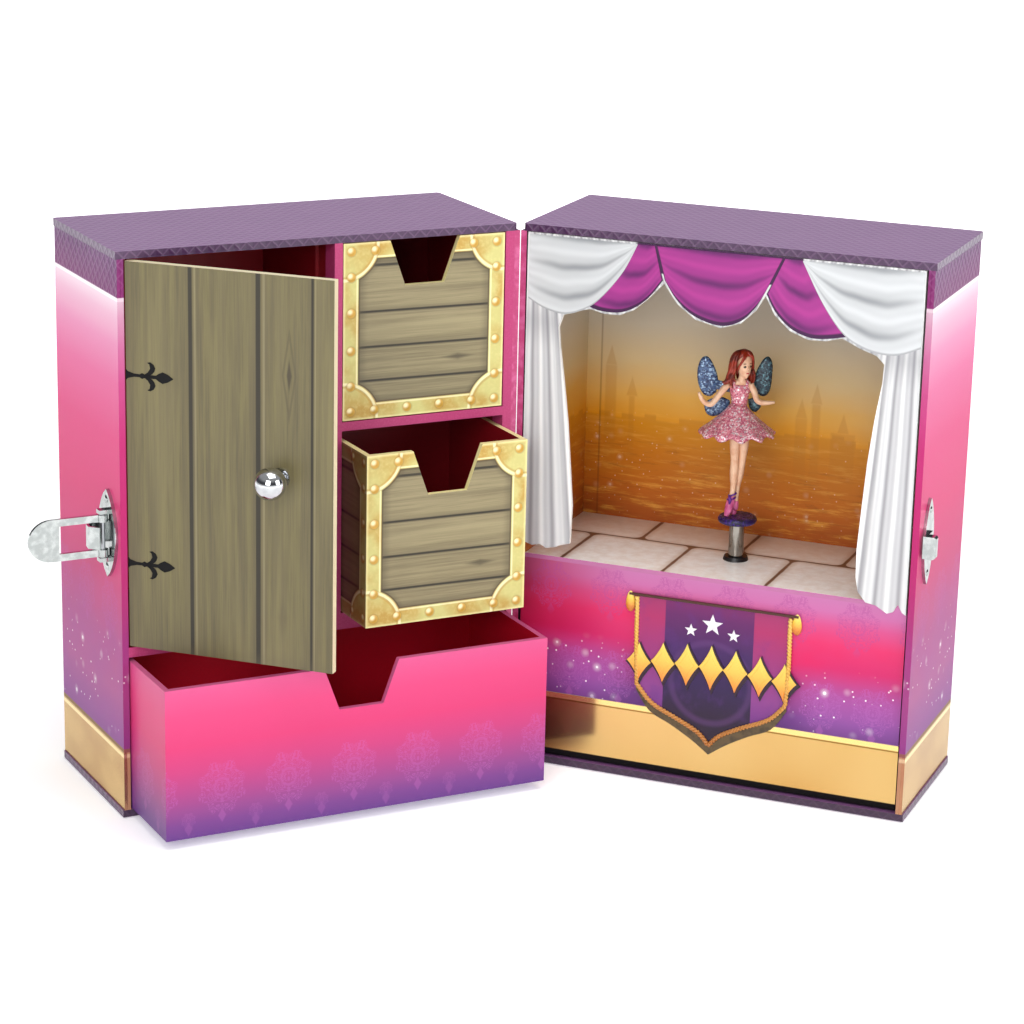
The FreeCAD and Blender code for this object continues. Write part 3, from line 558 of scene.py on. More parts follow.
def wide_drawer_material():
    """Pink to purple print with faint lace medallions, dark red lining inside."""
    net = Net("wide drawer print")
    x, y, z, (_, tall, _), front, side, rim, _ = drawer_frame(net, "wide_drawer_front")
    run = x + y
    colour = net.ramp(z, 0.0, tall, [(0, "5f3480"), (5, "733a84"), (10, "8c4084"), (16, "a63e80"),
                                     (24, "c23a78"), (33, "d43872"), (44, "da427a"), (tall, "d65288")])
    lace = medallion(net, run - 8.0, z, 24.5, 17.0, 8.6)
    small = medallion(net, run + 4.2, z, 24.5, 6.5, 2.6)
    colour = net.layers(colour, (
        (lace * z.step(44, 24) * 0.22, "c06ab8"),
        (small * 0.16, "c070b8"),
    ))
    weave = net.noise((x, y, z), 1.4, 4.0)
    colour = net.layers(colour, (
        (1.0 - front.high(side), net.mix(weave * 0.5, "c80e2a", "980a1e")),
        (rim, "c45c88"),
        (net.facing(-UP), "5f3486"),
    ))
    net.paint(colour, rough=0.4, specular=0.35)
    return net.bump(net.noise((x, y, z), 1.8, 3.0), 0.05, 0.5).material


BASE_FOIL_Z = 25.4
BASE_GAP_Z = 5.4


def base_front_material():
    """Print under the stage: lavender damask row, hot pink, purple with stars, gold line and foil foot;
    painted shade on the left, a painted red reflection on the foil's left end and a painted near-black shadow
    along the foot.
    """
    net = Net("stage base print")
    w, _, z = net.half(STAGE)
    fade = net.ramp(z, 0.0, 80.0, [(24, "4a2a68"), (32, "68367c"), (42, "9c3a7c"), (52, "cc2868"),
                                   (61, "da346c"), (68, "cf5088"), (73, "c46ca4"), (78, "bf74a8")])
    glow = net.noise((w * 0.03, z * 0.05, 2.0), 1.0, 3.0)
    lace = medallion(net, w - 3.0, z, 23.0, 68.5, 8.0)
    lace_low = medallion(net, w + 6.0, z, 19.0, 38.0, 8.0)
    edges = (w - 76.0).abs().step(26.0, 44.0)
    stars = sparkles(net, w, z, 2.6, 0.95) * z.band(29, 48, 5) * edges
    foil = z.step(BASE_FOIL_Z + 0.2, BASE_FOIL_Z - 0.2)
    tint = net.noise((w * 0.012, z * 0.01, 5.0), 1.0, 2.0)
    line = z.near(BASE_FOIL_Z + 0.8, 2.0, 0.2)
    gap = z.step(BASE_GAP_Z + 0.2, BASE_GAP_Z - 0.2)
    metal = foil.high(line) * (1.0 - gap)
    front = net.facing(-DEPTH_DIR)
    colour = net.layers(fade, (
        # painted shade: the print's upper left part is darker and redder
        (w.step(48, 4) * z.step(44, 54) * 0.6, "a40630"),
        (glow.step(0.45, 0.8) * z.band(48, 64, 6) * 0.7, "e01858"),
        (lace * 0.42 * z.step(56, 62), "a84a90"),
        (lace_low * 0.26, "b86ab8"),
        (edges * z.band(28, 46, 8) * 0.35, "b86cc4"),
        (stars, "ffffff"),
        (foil, net.mix(tint.step(0.35, 0.65), "dab876", "c89a54")),
        # painted reflection: the left end of the foil is dark red, as if mirroring the red drawer
        (foil * w.step(34, 8) * 0.75, "6a0e06"),
        (line, "f8de8e"),
        (z.near(BASE_FOIL_Z - 0.5, 0.5, 0.2), "8f6a30"),
        # painted shade: the strip below the foil is near-black, standing for the dark gap at the foot
        (gap, "060205"),
        (1.0 - front, "3a1a2c"),
    ))
    net.paint(colour, rough=gap * 0.5 + 0.38 - metal * 0.24, metal=metal * 0.9 * front, specular=0.25)
    return net.material


def curtain_material():
    """White drapes printed on the front card, fanned from their necks, with a white cut edge."""
    net = Net("curtain print")
    w, _, z = net.half(STAGE)
    drop = 168.0 - z
    left_inner = drop * 0.095 + 15.4
    right_inner = drop * -0.075 + 133.6
    left_outer = drop * -0.01 + 3.0
    right_outer = drop * 0.012 + 146.2
    u_left = (w - left_outer) / (left_inner - left_outer)
    u_right = (right_outer - w) / (right_outer - right_inner)
    side = w.step(74, 76)
    u = u_left * (1.0 - side) + u_right * side
    wobble = net.noise((w * 0.05, z * 0.012, 3.0), 1.0, 2.0) * 2.2
    folds = (u * 17.0 + wobble).sin() * 0.5 + 0.5
    fine = (u * 43.0 + wobble * 3.0).sin() * 0.5 + 0.5
    shade = folds * 0.62 + fine * 0.38
    cloth = net.ramp(shade, 0.0, 1.0, [(0.0, "9c9b9f"), (0.3, "bebec1"), (0.65, "d6d7d8"), (1.0, "ebebea")])
    front = net.facing(-DEPTH_DIR)
    colour = net.layers(cloth, (
        ((u - 1.0).abs().step(0.09, 0.02), "fdfdfc"),
        ((u - 0.86).abs().step(0.07, 0.01) * 0.45, "8e8d92"),
        (z.step(176, 164) * z.step(154, 168) * 0.4, "77777e"),
        (w.band(43.5, 103.5, 0.4) * z.step(186.6, 187.2), "3a0e40"),
        (1.0 - front, "f4f2ee"),
    ))
    net.paint(colour, rough=0.5, specular=0.4)
    return net.bump(shade * front, 0.25, 0.5).material


def swag_material(name, dark, mid, light, bands):
    """Draped print: shade follows the v coordinate, with soft darker folds."""
    net = Net(name)
    u, v = net.uv()
    wobble = net.noise((u * 2.0, v * 0.6, 1.0), 1.0, 2.0) * 0.10 - 0.05
    bow = (u - 0.5) * (u - 0.5) * 0.10
    fold = ((v + wobble + bow) * bands * 2 * math.pi).cos() * 0.5 + 0.5
    fold = fold.power(1.8)
    fine = ((v + wobble * 2.0) * bands * 6 * math.pi).cos() * 0.5 + 0.5
    depth = (u * math.pi).sin().power(0.7)
    shade = fold * 0.8 * depth + fine * 0.2
    colour = net.ramp(shade, 0.0, 1.0, [(0.0, light), (0.45, mid), (1.0, dark)])
    net.paint(colour, rough=0.48, specular=0.4)
    net.bump(shade, 0.3, 0.5)
    return net, u, v, colour


SKY = [(80, "a8541e"), (92, "c0681a"), (106, "d27e14"), (118, "dc9414"), (128, "dca850"), (140, "d6bc8a"),
       (156, "d2c6b0"), (172, "c8c0b2"), (196, "bab4aa")]
TOWERS = ((13.5, 2.2, 138.0), (22.0, 1.1, 127.0), (88.0, 2.2, 126.0), (93.5, 1.6, 132.0), (104.0, 4.6, 122.0),
          (122.0, 2.6, 128.0))


def backdrop_material():
    """Printed evening sky over a made-up town of towers, with floating lights."""
    net = Net("backdrop print")
    w, d, z = net.half(STAGE)
    sideways = net.sideways(ACROSS_DIR, 0.7, 0.9)
    run = w * (1.0 - sideways) + (d + 20.0) * sideways
    haze = net.noise((run * 0.02, z * 0.05, 0.0), 1.0, 4.0) * 12.0 - 6.0
    sky = net.ramp(z + haze, 78.0, 200.0, SKY)
    streak = net.noise((run * 0.05, z * 0.4, 4.0), 1.0, 6.0, 0.7)
    dark_streak = net.noise((run * 0.07, z * 0.5, 9.0), 1.0, 5.0, 0.7)
    roofs = net.noise(((run * 0.22).floor(), 2.0, 0.0), 0.9, 2.0)
    town = (roofs * 12.0 - z + 113.0).step(-0.6, 0.6) * z.step(88, 106)
    colour = net.layers(sky, (
        (streak.step(0.48, 0.7) * z.step(126, 112) * 0.65, "f2b44c"),
        (dark_streak.step(0.52, 0.7) * z.step(118, 104) * 0.5, "8a4a16"),
        (town * 0.30, "a05c12"),
    ))
    for centre, half_width, top in TOWERS:
        body = run.near(centre, half_width * 2, 0.5) * z.step(top, top - 1.0)
        spire = ((run - centre).abs() * 3.4 + z).step(top + 8.0, top + 6.0) * z.step(top - 1, top)
        tower = body.high(spire) * z.step(94, 116)
        colour = net.mix(tower * 0.28, colour, "b0701c")
    lights = sparkles(net, run, z, 2.2, 0.6) * z.band(84, 116, 10)
    colour = net.layers(colour, (
        (lights * 0.35, "fff3d0"),
        (run.step(96, 138) * z.step(112, 126) * 0.4, "c4ac8c"),
        (w.near(9.5, 0.6, 0.3) * 0.45, "6b3a12"),
    ))
    net.paint(colour, rough=0.42, specular=0.25)
    return net.material


TILE_ROW = 36.0
TILE_WIDTH = 38.5
TILE_CORNER = 4.0


def tile_material():
    """Stage floor print: two rows of pale rounded stone slabs with brown joints and a painted shade round
    each slab's rim.
    """
    net = Net("stone floor print")
    w, d, _ = net.half(STAGE)
    back_row = d.step(TILE_ROW - 0.1, TILE_ROW + 0.1)
    x = (w + back_row * 20.5 - 18.0).mod(TILE_WIDTH)
    bend = net.noise((w * 0.12, d * 0.12, 0.0), 1.0, 2.0) * 1.6 - 0.8
    gap_w = -(x - TILE_WIDTH / 2).abs() + TILE_WIDTH / 2
    gap_d = (d - TILE_ROW).abs().low((d - TILE_ROW * 2).abs())
    inward_w = (-gap_w + TILE_CORNER).high(0.0)
    inward_d = (-gap_d + TILE_CORNER).high(0.0)
    rounded = -(inward_w * inward_w + inward_d * inward_d).sqrt() + TILE_CORNER + bend * 0.35
    stone = net.noise((w, d, 0.0), 0.25, 5.0, 0.6)
    colour = net.layers(net.mix(stone.step(0.3, 0.7), "f2ece8", "ffffff"), (
        (d.step(30, 58) * 0.55, "cca680"),
        # painted shade darkens each slab's rim beside the brown joints
        (rounded.step(3.4, 0.6) * 0.35, "b08f6e"),
        (rounded.step(0.9, 0.35) * 0.95, "5c3414"),
        (1.0 - net.facing(UP), "b86c9c"),
    ))
    net.paint(colour, rough=0.32, specular=0.5)
    return net.bump(stone + rounded.step(0.2, 2.0) * 1.5, 0.12, 0.4).material


def plain(name, colour, rough=0.5, metal=0.0, coat=0.0, grain=0.0, specular=0.5, second=None):
    """One-colour finish with slight variation in tone and gloss."""
    net = Net(name)
    place_mm = net.place_mm()
    mottle = net.noise(place_mm, 0.35, 4.0)
    darker = tuple(channel * 0.82 for channel in srgb(colour)[:3]) + (1.0,)
    tinted = net.mix(mottle.step(0.4, 0.7), colour, second or darker)
    net.paint(tinted, metal=metal, coat=coat, specular=specular)
    net.paint(rough=mottle * 0.12 + rough - 0.06)
    if grain:
        net.bump(net.noise(place_mm, 2.5, 4.0), grain, 0.6)
    return net.material


def glitter(name, base, light, dark, scale=1.6):
    """Painted plastic strewn with glitter flakes."""
    net = Net(name)
    place_mm = net.place_mm()
    pick = net.cells(place_mm, scale)[1]
    colour = net.mix(pick.step(0.1, 0.45), dark, base)
    colour = net.mix(pick.step(0.62, 0.9), colour, light)
    net.paint(colour, rough=0.55 - pick * 0.3, metal=pick.step(0.7, 0.95) * 0.5, specular=0.6)
    net.bump(pick, 0.12, 0.5)
    return net.material


def graded(name, stops, rough=0.35, metal=0.0):
    """Colour by height, for printed gold that turns from yellow to orange."""
    net = Net(name)
    z = net.along(HINGE, UP)
    grain = net.noise((net.along(HINGE, ACROSS_DIR), z, 0.0), 1.2, 3.0)
    colour = net.ramp(z + grain * 2.0 - 1.0, stops[0][0], stops[-1][0], stops)
    net.paint(colour, rough=rough, metal=metal, specular=0.5)
    return net.bump(grain, 0.04, 0.4).material


def banner_material():
    """Pennant cloth: magenta sides, dark purple middle stripe, darker towards the tip."""
    net = Net("banner cloth")
    w, _, z = net.half(STAGE)
    side = net.ramp(z, 12.0, 70.0, [(14, "3f1c4a"), (26, "672c80"), (36, "863c86"), (50, "963074"),
                                    (62, "aa2a64"), (70, "9c3068")])
    middle = net.ramp(z, 12.0, 70.0, [(14, "1e1024"), (28, "261232"), (40, "2e164c"), (52, "3e1a5a"),
                                      (64, "601c60"), (70, "7a2064")])
    stripe = w.band(58.8, 92.0, 0.15)
    colour = net.mix(stripe, side, middle)
    cloud = net.noise((w * 0.15, z * 0.1, 0.0), 1.0, 4.0)
    colour = net.mix(cloud.step(0.5, 0.75) * 0.35, colour, "5c2a80")
    ring = ((w - 76.6) * (w - 76.6) + (z - 40.0) * (z - 40.0)).sqrt()
    colour = net.mix(((ring - 15.0).abs().step(2.0, 0.2)) * stripe * 0.3, colour, "6a3f80")
    net.paint(colour, rough=0.45, specular=0.4)
    weave = net.noise((w, z, 0.0), 3.0, 2.0)
    return net.bump(weave, 0.05, 0.5).material


CHROME = plain("polished chrome", "cfd1d4", rough=0.09, metal=1.0, second="c2c4c8")
CLASP_CHROME = plain("clasp chrome", "aeb3b2", rough=0.13, metal=1.0, second="cacecd")
POST_CHROME = plain("post chrome", "9c968e", rough=0.12, metal=1.0)
BRASS = plain("brass", "d8b45c", rough=0.28, metal=1.0)
STEEL = plain("steel", "b9bcc0", rough=0.3, metal=1.0)
ZINC = plain("zinc casting", "9a9c9e", rough=0.45, metal=0.9, grain=0.04)
BLACK_PLASTIC = plain("black plastic", "17151a", rough=0.4)
CLOTH = plain("cloth tape", "4d070f", rough=0.8, grain=0.1)
PINK_PAPER = plain("pink edge paper", EDGE_PINK, rough=0.42, grain=0.03, second="c85a8c")


def assign(node, material, bevel=0.0, segments=2):
    """Puts one material on a CAD node, and softens its edges by a bevel width in mm."""
    obj = NODES[node]
    obj.data.materials.clear()
    obj.data.materials.append(material)
    if bevel:
        modifier = obj.modifiers.new("soft edges", "BEVEL")
        modifier.width = bevel * MM
        modifier.segments = segments
        modifier.limit_method = "ANGLE"
        modifier.angle_limit = math.radians(35)


def finish_boards():
    for prefix, half, inside in (("cabinet_", CABINET, LINING), ("stage_", STAGE, "14060c")):
        wall = wrapped_wall(prefix + "wall wrap", half, inside)
        cap = leather_board(prefix + "board wrap", half, inside)
        for part in ("clasp_wall", "hinge_wall", "back_panel"):
            assign(prefix + part, wall, 0.25)
        for part in ("top_panel", "bottom_panel"):
            assign(prefix + part, cap, 0.45)
        assign(prefix + "spine_strip", PINK_PAPER)
    lining = lined_board("cabinet lining", CABINET)
    for node in ("cabinet_divider", "cabinet_lower_shelf", "cabinet_mid_shelf", "column_floor",
                 "column_side", "door_space_liner"):
        assign(node, lining, 0.2)


def finish_parts():
    assign("door_panel", door_material(), 0.25)
    for name in ("upper", "lower"):
        print_material = chest_drawer(name + " drawer print", name + "_drawer_front")
        for part in ("front", "tray", "bottom"):
            assign(f"{name}_drawer_{part}", print_material, 0.15)
    wide = wide_drawer_material()
    for part in ("front", "tray", "bottom"):
        assign("wide_drawer_" + part, wide, 0.2)
    assign("stage_base_front", base_front_material(), 0.15)
    assign("stage_front_card", curtain_material(), 0.08)
    assign("stage_backdrop", backdrop_material())
    assign("stage_floor", tile_material(), 0.1)
    for material, nodes in (
            (STEEL, ("hasp_pin", "door_knob_screw", "movement_screws", "music_comb", "spindle_drive")),
            (BRASS, ("key_bushing", "music_cylinder", "winding_key", "spring_barrel", "crown_wheel")),
            (ZINC, ("movement_frame",)),
            (BLACK_PLASTIC, ("governor_fan", "spindle_bushing")),
            (CLOTH, ("door_hinge_tape_fixed", "door_hinge_tape_moving"))):
        for node in nodes:
            assign(node, material)
    for node in ("hasp_plate", "hasp_loop", "hasp_tongue", "keeper_plate"):
        assign(node, CLASP_CHROME, 0.28, 3)
    assign("door_knob", CHROME, 0.28, 3)
    assign("post_tube", POST_CHROME, 0.2, 3)


# ---- building pieces ----
def new_object(name, bm, body, material, smooth=False):
    """Turn a built-up bmesh into a piece that rides on a body."""
    bmesh.ops.triangulate(bm, faces=[face for face in bm.faces if len(face.verts) > 4])
    bmesh.ops.recalc_face_normals(bm, faces=bm.faces)
    mesh = bpy.data.meshes.new(name)
    bm.to_mesh(mesh)
    bm.free()
    obj = bpy.data.objects.new(name, mesh)
    bpy.context.scene.collection.objects.link(obj)
    mesh.materials.append(material)
    for polygon in mesh.polygons:
        polygon.use_smooth = smooth
    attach(obj, body)
    return obj


def smooth_line(points, count):
    """Evenly spread points along a smooth line through the given ones."""
    result = []
    spans = len(points) - 1
    for step in range(count + 1):
        t = step / count * spans
        k = min(int(t), spans - 1)
        f = t - k
        p0 = points[max(k - 1, 0)]
        p1 = points[k]
        p2 = points[k + 1]
        p3 = points[min(k + 2, spans)]
        result.append(tuple(
            0.5 * (2 * b + (c - a) * f + (2 * a - 5 * b + 4 * c - d) * f ** 2
                   + (3 * b - a - 3 * c + d) * f ** 3)
            for a, b, c, d in zip(p0, p1, p2, p3)))
    return result


def drape(name, top_line, bottom_line, depth, material):
    """Flat sheet between two lines of (w, z) points, with u along and v from top to bottom."""
    columns, rows = 40, 24
    top = smooth_line(top_line, columns)
    bottom = smooth_line(bottom_line, columns)
    bm = bmesh.new()
    layer = bm.loops.layers.uv.new("UVMap")
    grid = []
    for j in range(rows + 1):
        v = j / rows
        row = []
        for i in range(columns + 1):
            w = top[i][0] * (1 - v) + bottom[i][0] * v
            z = top[i][1] * (1 - v) + bottom[i][1] * v
            row.append(bm.verts.new(place(STAGE, w, depth, z)))
        grid.append(row)
    for j in range(rows):
        for i in range(columns):
            face = bm.faces.new((grid[j][i], grid[j][i + 1], grid[j + 1][i + 1], grid[j + 1][i]))
            for loop, (a, b) in zip(face.loops, ((i, j), (i + 1, j), (i + 1, j + 1), (i, j + 1))):
                loop[layer].uv = (a / columns, b / rows)
    new_object(name, bm, "stage", material)


DRAPE_TOP = 196.4
VALANCE_DEPTH = 0.34
SWAG_DEPTH = 0.28


def make_drapes():
    """Printed swags and valances as thin sheets just in front of the card."""
    grey, u, v, colour = swag_material("grey swag print", "94979b", "bfc2c4", "d4d7d9", 2.6)
    hem = v.step(0.965, 0.99)
    grey.paint(grey.mix(hem, colour, "a9abae"))
    purple, u, v, colour = swag_material("purple valance print", "621660", "92287e", "ac328c", 2.3)
    outline = v.step(0.93, 0.96).high(u.step(0.035, 0.012)).high(u.step(0.965, 0.988))
    purple.paint(purple.mix(outline, colour, "3a0e40"))
    for name, material, depth, top_line, bottom_line in (
            ("valance_left", purple, VALANCE_DEPTH, [(42.5, DRAPE_TOP), (50.0, DRAPE_TOP)],
             [(24.8, 173.3), (30.0, 171.6), (37.4, 171.6), (43.4, 174.0), (48.6, 178.3), (53.4, 184.6)]),
            ("valance_middle", purple, VALANCE_DEPTH, [(50.4, DRAPE_TOP), (96.6, DRAPE_TOP)],
             [(54.1, 184.6), (59.0, 177.9), (65.7, 173.0), (75.0, 170.8), (82.2, 173.2), (87.2, 178.4),
              (90.3, 183.8)]),
            ("valance_right", purple, VALANCE_DEPTH, [(97.0, DRAPE_TOP), (104.5, DRAPE_TOP)],
             [(91.0, 183.6), (94.5, 177.6), (100.0, 172.6), (106.6, 170.1), (112.8, 170.2), (120.0, 171.6)]),
            ("swag_left", grey, SWAG_DEPTH, [(3.4, DRAPE_TOP), (43.6, DRAPE_TOP)],
             [(3.4, 173.4), (9.3, 170.4), (16.6, 169.0), (23.3, 170.8), (30.0, 175.4), (38.3, 185.6),
              (43.6, 196.0)]),
            ("swag_right", grey, SWAG_DEPTH, [(103.4, DRAPE_TOP), (146.0, DRAPE_TOP)],
             [(103.4, 196.0), (110.9, 182.5), (118.4, 172.8), (125.2, 168.6), (132.4, 166.9), (139.1, 167.4),
              (146.0, 170.3)])):
        drape(name, top_line, bottom_line, depth, material.material)


def plate(bm, half, outline, front, back):
    """Flat plate parallel to a half's front, from (across, z) corners and two depths."""
    near, far = ([bm.verts.new(place(half, across, depth, z)) for across, z in outline]
                 for depth in (front, back))
    bm.faces.new(near)
    bm.faces.new(list(reversed(far)))
    count = len(outline)
    for i in range(count):
        bm.faces.new((near[i], far[i], far[(i + 1) % count], near[(i + 1) % count]))


def ring_loft(bm, rings):
    """Skin a list of rings, each a list of points of the same count; the ends are capped."""
    loops = [[bm.verts.new(point) for point in ring] for ring in rings]
    count = len(loops[0])
    for low, high in zip(loops, loops[1:]):
        for i in range(count):
            j = (i + 1) % count
            bm.faces.new((low[i], low[j], high[j], high[i]))
    bm.faces.new(list(reversed(loops[0])))
    bm.faces.new(loops[-1])


def circle(count):
    """Cosine and sine at equal steps round a circle."""
    return [(math.cos(2 * math.pi * k / count), math.sin(2 * math.pi * k / count)) for k in range(count)]


def tube(bm, points, radii, sides=8, flat=1.0, flat_dir=None):
    """Round tube through the points, with a radius in mm at each."""
    rings = []
    for index, point in enumerate(points):
        before = points[max(index - 1, 0)]
        after = points[min(index + 1, len(points) - 1)]
        axis = (after - before).normalized()
        side = axis.cross(flat_dir or Vector((0.31, 0.22, 0.93)))
        if side.length < 1e-6:
            side = axis.cross(Vector((1, 0, 0)))
        side.normalize()
        other = axis.cross(side)
        rings.append([point + (side * across + other * up * flat) * (radii[index] * MM)
                      for across, up in circle(sides)])
    ring_loft(bm, rings)


def limb(bm, points, radii, count, sides, place_point):
    """Tube along a smooth line through the points, its radius eased between the given ones."""
    line = [place_point(*point) for point in smooth_line(points, count)]
    sizes = [value[0] for value in smooth_line([(r,) for r in radii], count)]
    tube(bm, line, sizes, sides)


# ---- banner on the stage base ----
BANNER_LEFT = [(48.0, 68.6), (48.2, 50.0), (48.8, 36.0)]
BANNER_CURVE = [(48.8, 36.0), (54.9, 29.4), (65.3, 24.6), (72.9, 20.8), (76.9, 16.6), (80.9, 20.8),
                (88.5, 24.9), (98.9, 29.8), (104.8, 36.0)]
BANNER_HEM = [(48.4, 33.8), (53.9, 26.2), (62.1, 22.2), (70.6, 17.4), (76.9, 12.9), (83.2, 17.4),
              (91.7, 22.2), (99.9, 26.2), (105.2, 33.8)]


def curve_pair(points, count):
    """Smooth line with its sharp middle point kept."""
    middle = len(points) // 2
    return smooth_line(points[:middle + 1], count) + smooth_line(points[middle:], count)[1:]


def rope(bm, line, radius, pitch):
    """Two strands twisted round a line of (w, depth, z) points."""
    path = [place(STAGE, *point) for point in line]
    total = sum((b - a).length for a, b in zip(path, path[1:]))
    steps = int(total / MM / 0.45)
    fine = []
    travelled, index = 0.0, 0
    for step in range(steps + 1):
        target = total * step / steps
        while index < len(path) - 2 and travelled + (path[index + 1] - path[index]).length < target:
            travelled += (path[index + 1] - path[index]).length
            index += 1
        span = path[index + 1] - path[index]
        fine.append((path[index] + span.normalized() * (target - travelled), span.normalized(), target))
    for strand in (0.0, math.pi):
        points = []
        for point, along, target in fine:
            side = along.cross(DEPTH_DIR).normalized()
            angle = strand + 2 * math.pi * target / (pitch * MM)
            twist = side * math.cos(angle) + DEPTH_DIR * math.sin(angle)
            points.append(point + twist * (radius * 0.5 * MM))
        tube(bm, points, [radius * 0.62] * len(points), 6)


def make_banner():
    """Hanging cloth of the banner and what trims it."""
    cloth = bmesh.new()
    curve = curve_pair(BANNER_CURVE, 16)
    outline = [(47.8, 69.4)] + curve + [(105.6, 69.4)]
    plate(cloth, STAGE, outline, 1.0, 1.75)
    piece = new_object("banner_cloth", cloth, "stage", banner_material())
    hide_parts("stage_banner")

    hem = bmesh.new()
    lower = curve_pair(BANNER_HEM, 16)
    for (a, b), (c, d) in zip(zip(curve, curve[1:]), zip(lower, lower[1:])):
        plate(hem, STAGE, [a, c, d, b], 1.05, 1.7)
    new_object("banner_hem", hem, "stage",
               plain("olive hem", "5b4a2c", rough=0.5, second="3f3320"))

    cord = bmesh.new()
    right = [(105.4, 50.0), (105.2, 68.6)]
    line = [(w, 0.75, z) for w, z in BANNER_LEFT[:-1] + curve + right]
    rope(cord, line, 0.85, 2.6)
    rope_gold = graded("gold rope", [(12, "a8622a"), (30, "c98a44"), (50, "e0b050"), (70, "ecc468")])
    new_object("banner_rope", cord, "stage", rope_gold, True)

    rod = bmesh.new()
    tube(rod, [place(STAGE, 45.0, 0.9, 69.5), place(STAGE, 108.2, 0.9, 69.5)], [0.55, 0.55], 10)
    new_object("banner_rod", rod, "stage", plain("dark rod", "4a2418", rough=0.4))

    finials = bmesh.new()
    for centre in (45.4, 107.6):
        rings = []
        for step in range(13):
            angle = math.pi * (0.02 + 0.96 * step / 12)
            z = 66.6 - 3.9 * math.cos(angle)
            size = math.sin(angle) * (1.75 + 0.35 * math.cos(angle))
            rings.append([place(STAGE, centre + size * across, 1.0 + 0.75 * size / 1.75 * deep, z)
                          for across, deep in circle(16)])
        ring_loft(finials, rings)
    new_object("banner_finials", finials, "stage",
               graded("finial gold", [(62, "b04a1c"), (65, "dd8a34"), (68, "f2cf52"), (71, "f8e68a")]),
               True)


def lozenge(centre_w, centre_z, half_w, half_z):
    """Corners of a diamond with gently hollow sides."""
    points = []
    for step in range(32):
        angle = 2 * math.pi * step / 32
        reach = 1.0 / (abs(math.cos(angle)) ** 0.85 + abs(math.sin(angle)) ** 0.85) ** (1 / 0.85)
        points.append((centre_w + half_w * reach * math.cos(angle),
                       centre_z + half_z * reach * math.sin(angle)))
    return points


def star(centre_w, centre_z, size):
    """Outline of a five-pointed star."""
    points = []
    for step in range(10):
        angle = math.pi / 2 + math.pi * step / 5
        reach = size if step % 2 == 0 else size * 0.42
        points.append((centre_w + reach * math.cos(angle), centre_z + reach * math.sin(angle)))
    return points


def raised_plate(bm, outline, rings):
    """Plate from (w, z) corners round their middle; each ring is a depth and a share of the full size."""
    mid_w = sum(w for w, z in outline) / len(outline)
    mid_z = sum(z for w, z in outline) / len(outline)
    ring_loft(bm, [[place(STAGE, mid_w + (w - mid_w) * share, depth, mid_z + (z - mid_z) * share)
                    for w, z in outline] for depth, share in rings])


FLAT_RINGS = ((0.62, 0.03), (0.62, 1), (0.98, 1), (0.98, 0.03))
STAR_RINGS = ((0.66, 0.03), (0.78, 1), (0.98, 1), (0.98, 0.03))
FACETED_RINGS = ((0.22, 0.03), (0.26, 0.60), (0.40, 0.64), (0.44, 0.94), (0.60, 1), (0.60, 0.03))


def make_emblem():
    """Plain row of gold diamonds and three white stars, standing in for the banner's lettering."""
    dark, gold, white = bmesh.new(), bmesh.new(), bmesh.new()
    for index in range(7):
        w = 49.4 + index * 9.1
        z = 44.6 - 0.16 * (index - 3) ** 2 + 1.4
        tall = 8.4 - 0.45 * abs(index - 3)
        raised_plate(dark, lozenge(w + 0.5, z - 0.6, 5.6, tall + 1.1), FLAT_RINGS)
        raised_plate(gold, lozenge(w, z, 4.6, tall), FACETED_RINGS)
    for w, z, size in ((76.6, 62.0, 4.0), (68.6, 59.0, 2.4), (84.6, 59.0, 2.4)):
        raised_plate(white, star(w, z, size), STAR_RINGS)
    new_object("emblem_shadow", dark, "stage",
               plain("emblem outline", "2a0f28", rough=0.5))
    new_object("emblem_gold", gold, "stage",
               graded("emblem gold", [(34, "e0682c"), (40, "ee9438"), (46, "f0c452"), (55, "f8e06a")]))
    new_object("emblem_stars", white, "stage", plain("white stars", "f6f2f8", rough=0.4))


# ---- printed strap hinges on the door ----
def make_strap_hinges():
    """Strap-hinge prints on the door, just proud of the planks."""
    bm = bmesh.new()
    for z in (158.3, 92.6):
        strap = [(0.9, 2.0), (1.6, 1.2), (4.0, 0.55), (6.0, 0.5), (6.9, 1.0), (7.9, 0.6), (12.0, 0.6),
                 (13.0, 1.3), (14.4, 2.0), (16.4, 1.3), (18.4, 0.0)]
        outline = strap + [(s, -up) for s, up in reversed(strap[:-1])]
        for sign, shape in ((1, outline), (1, None), (-1, None)):
            if shape is None:
                petal = [(7.4, 0.3), (9.0, 1.4), (9.9, 2.8), (9.6, 4.2), (8.8, 4.7), (9.9, 5.0), (11.2, 4.2),
                         (11.8, 3.0), (11.4, 1.8), (10.6, 0.9), (9.4, 0.2)]
                shape = [(s, up * sign) for s, up in petal]
            plate(bm, DOOR, [(s - 0.9, z + up) for s, up in shape], -0.02, 0.11)
    new_object("door_strap_prints", bm, "door", plain("black print", "0c0b0d", rough=0.6, specular=0.2))


# ---- the dancer ----
SPINDLE = Vector(JOINTS["spindle_spin"]["pos_m"][:2] + [0])
FACING = math.radians(-27.1)
SIDE_DIR = Vector((math.cos(FACING), math.sin(FACING), 0))
BACK_DIR = Vector((-math.sin(FACING), math.cos(FACING), 0))


def figure(x, y, z):
    """Row-frame point from the dancer's own mm: x to the right as seen, y away, z up."""
    return SPINDLE + (SIDE_DIR * x + BACK_DIR * y + UP * z) * MM


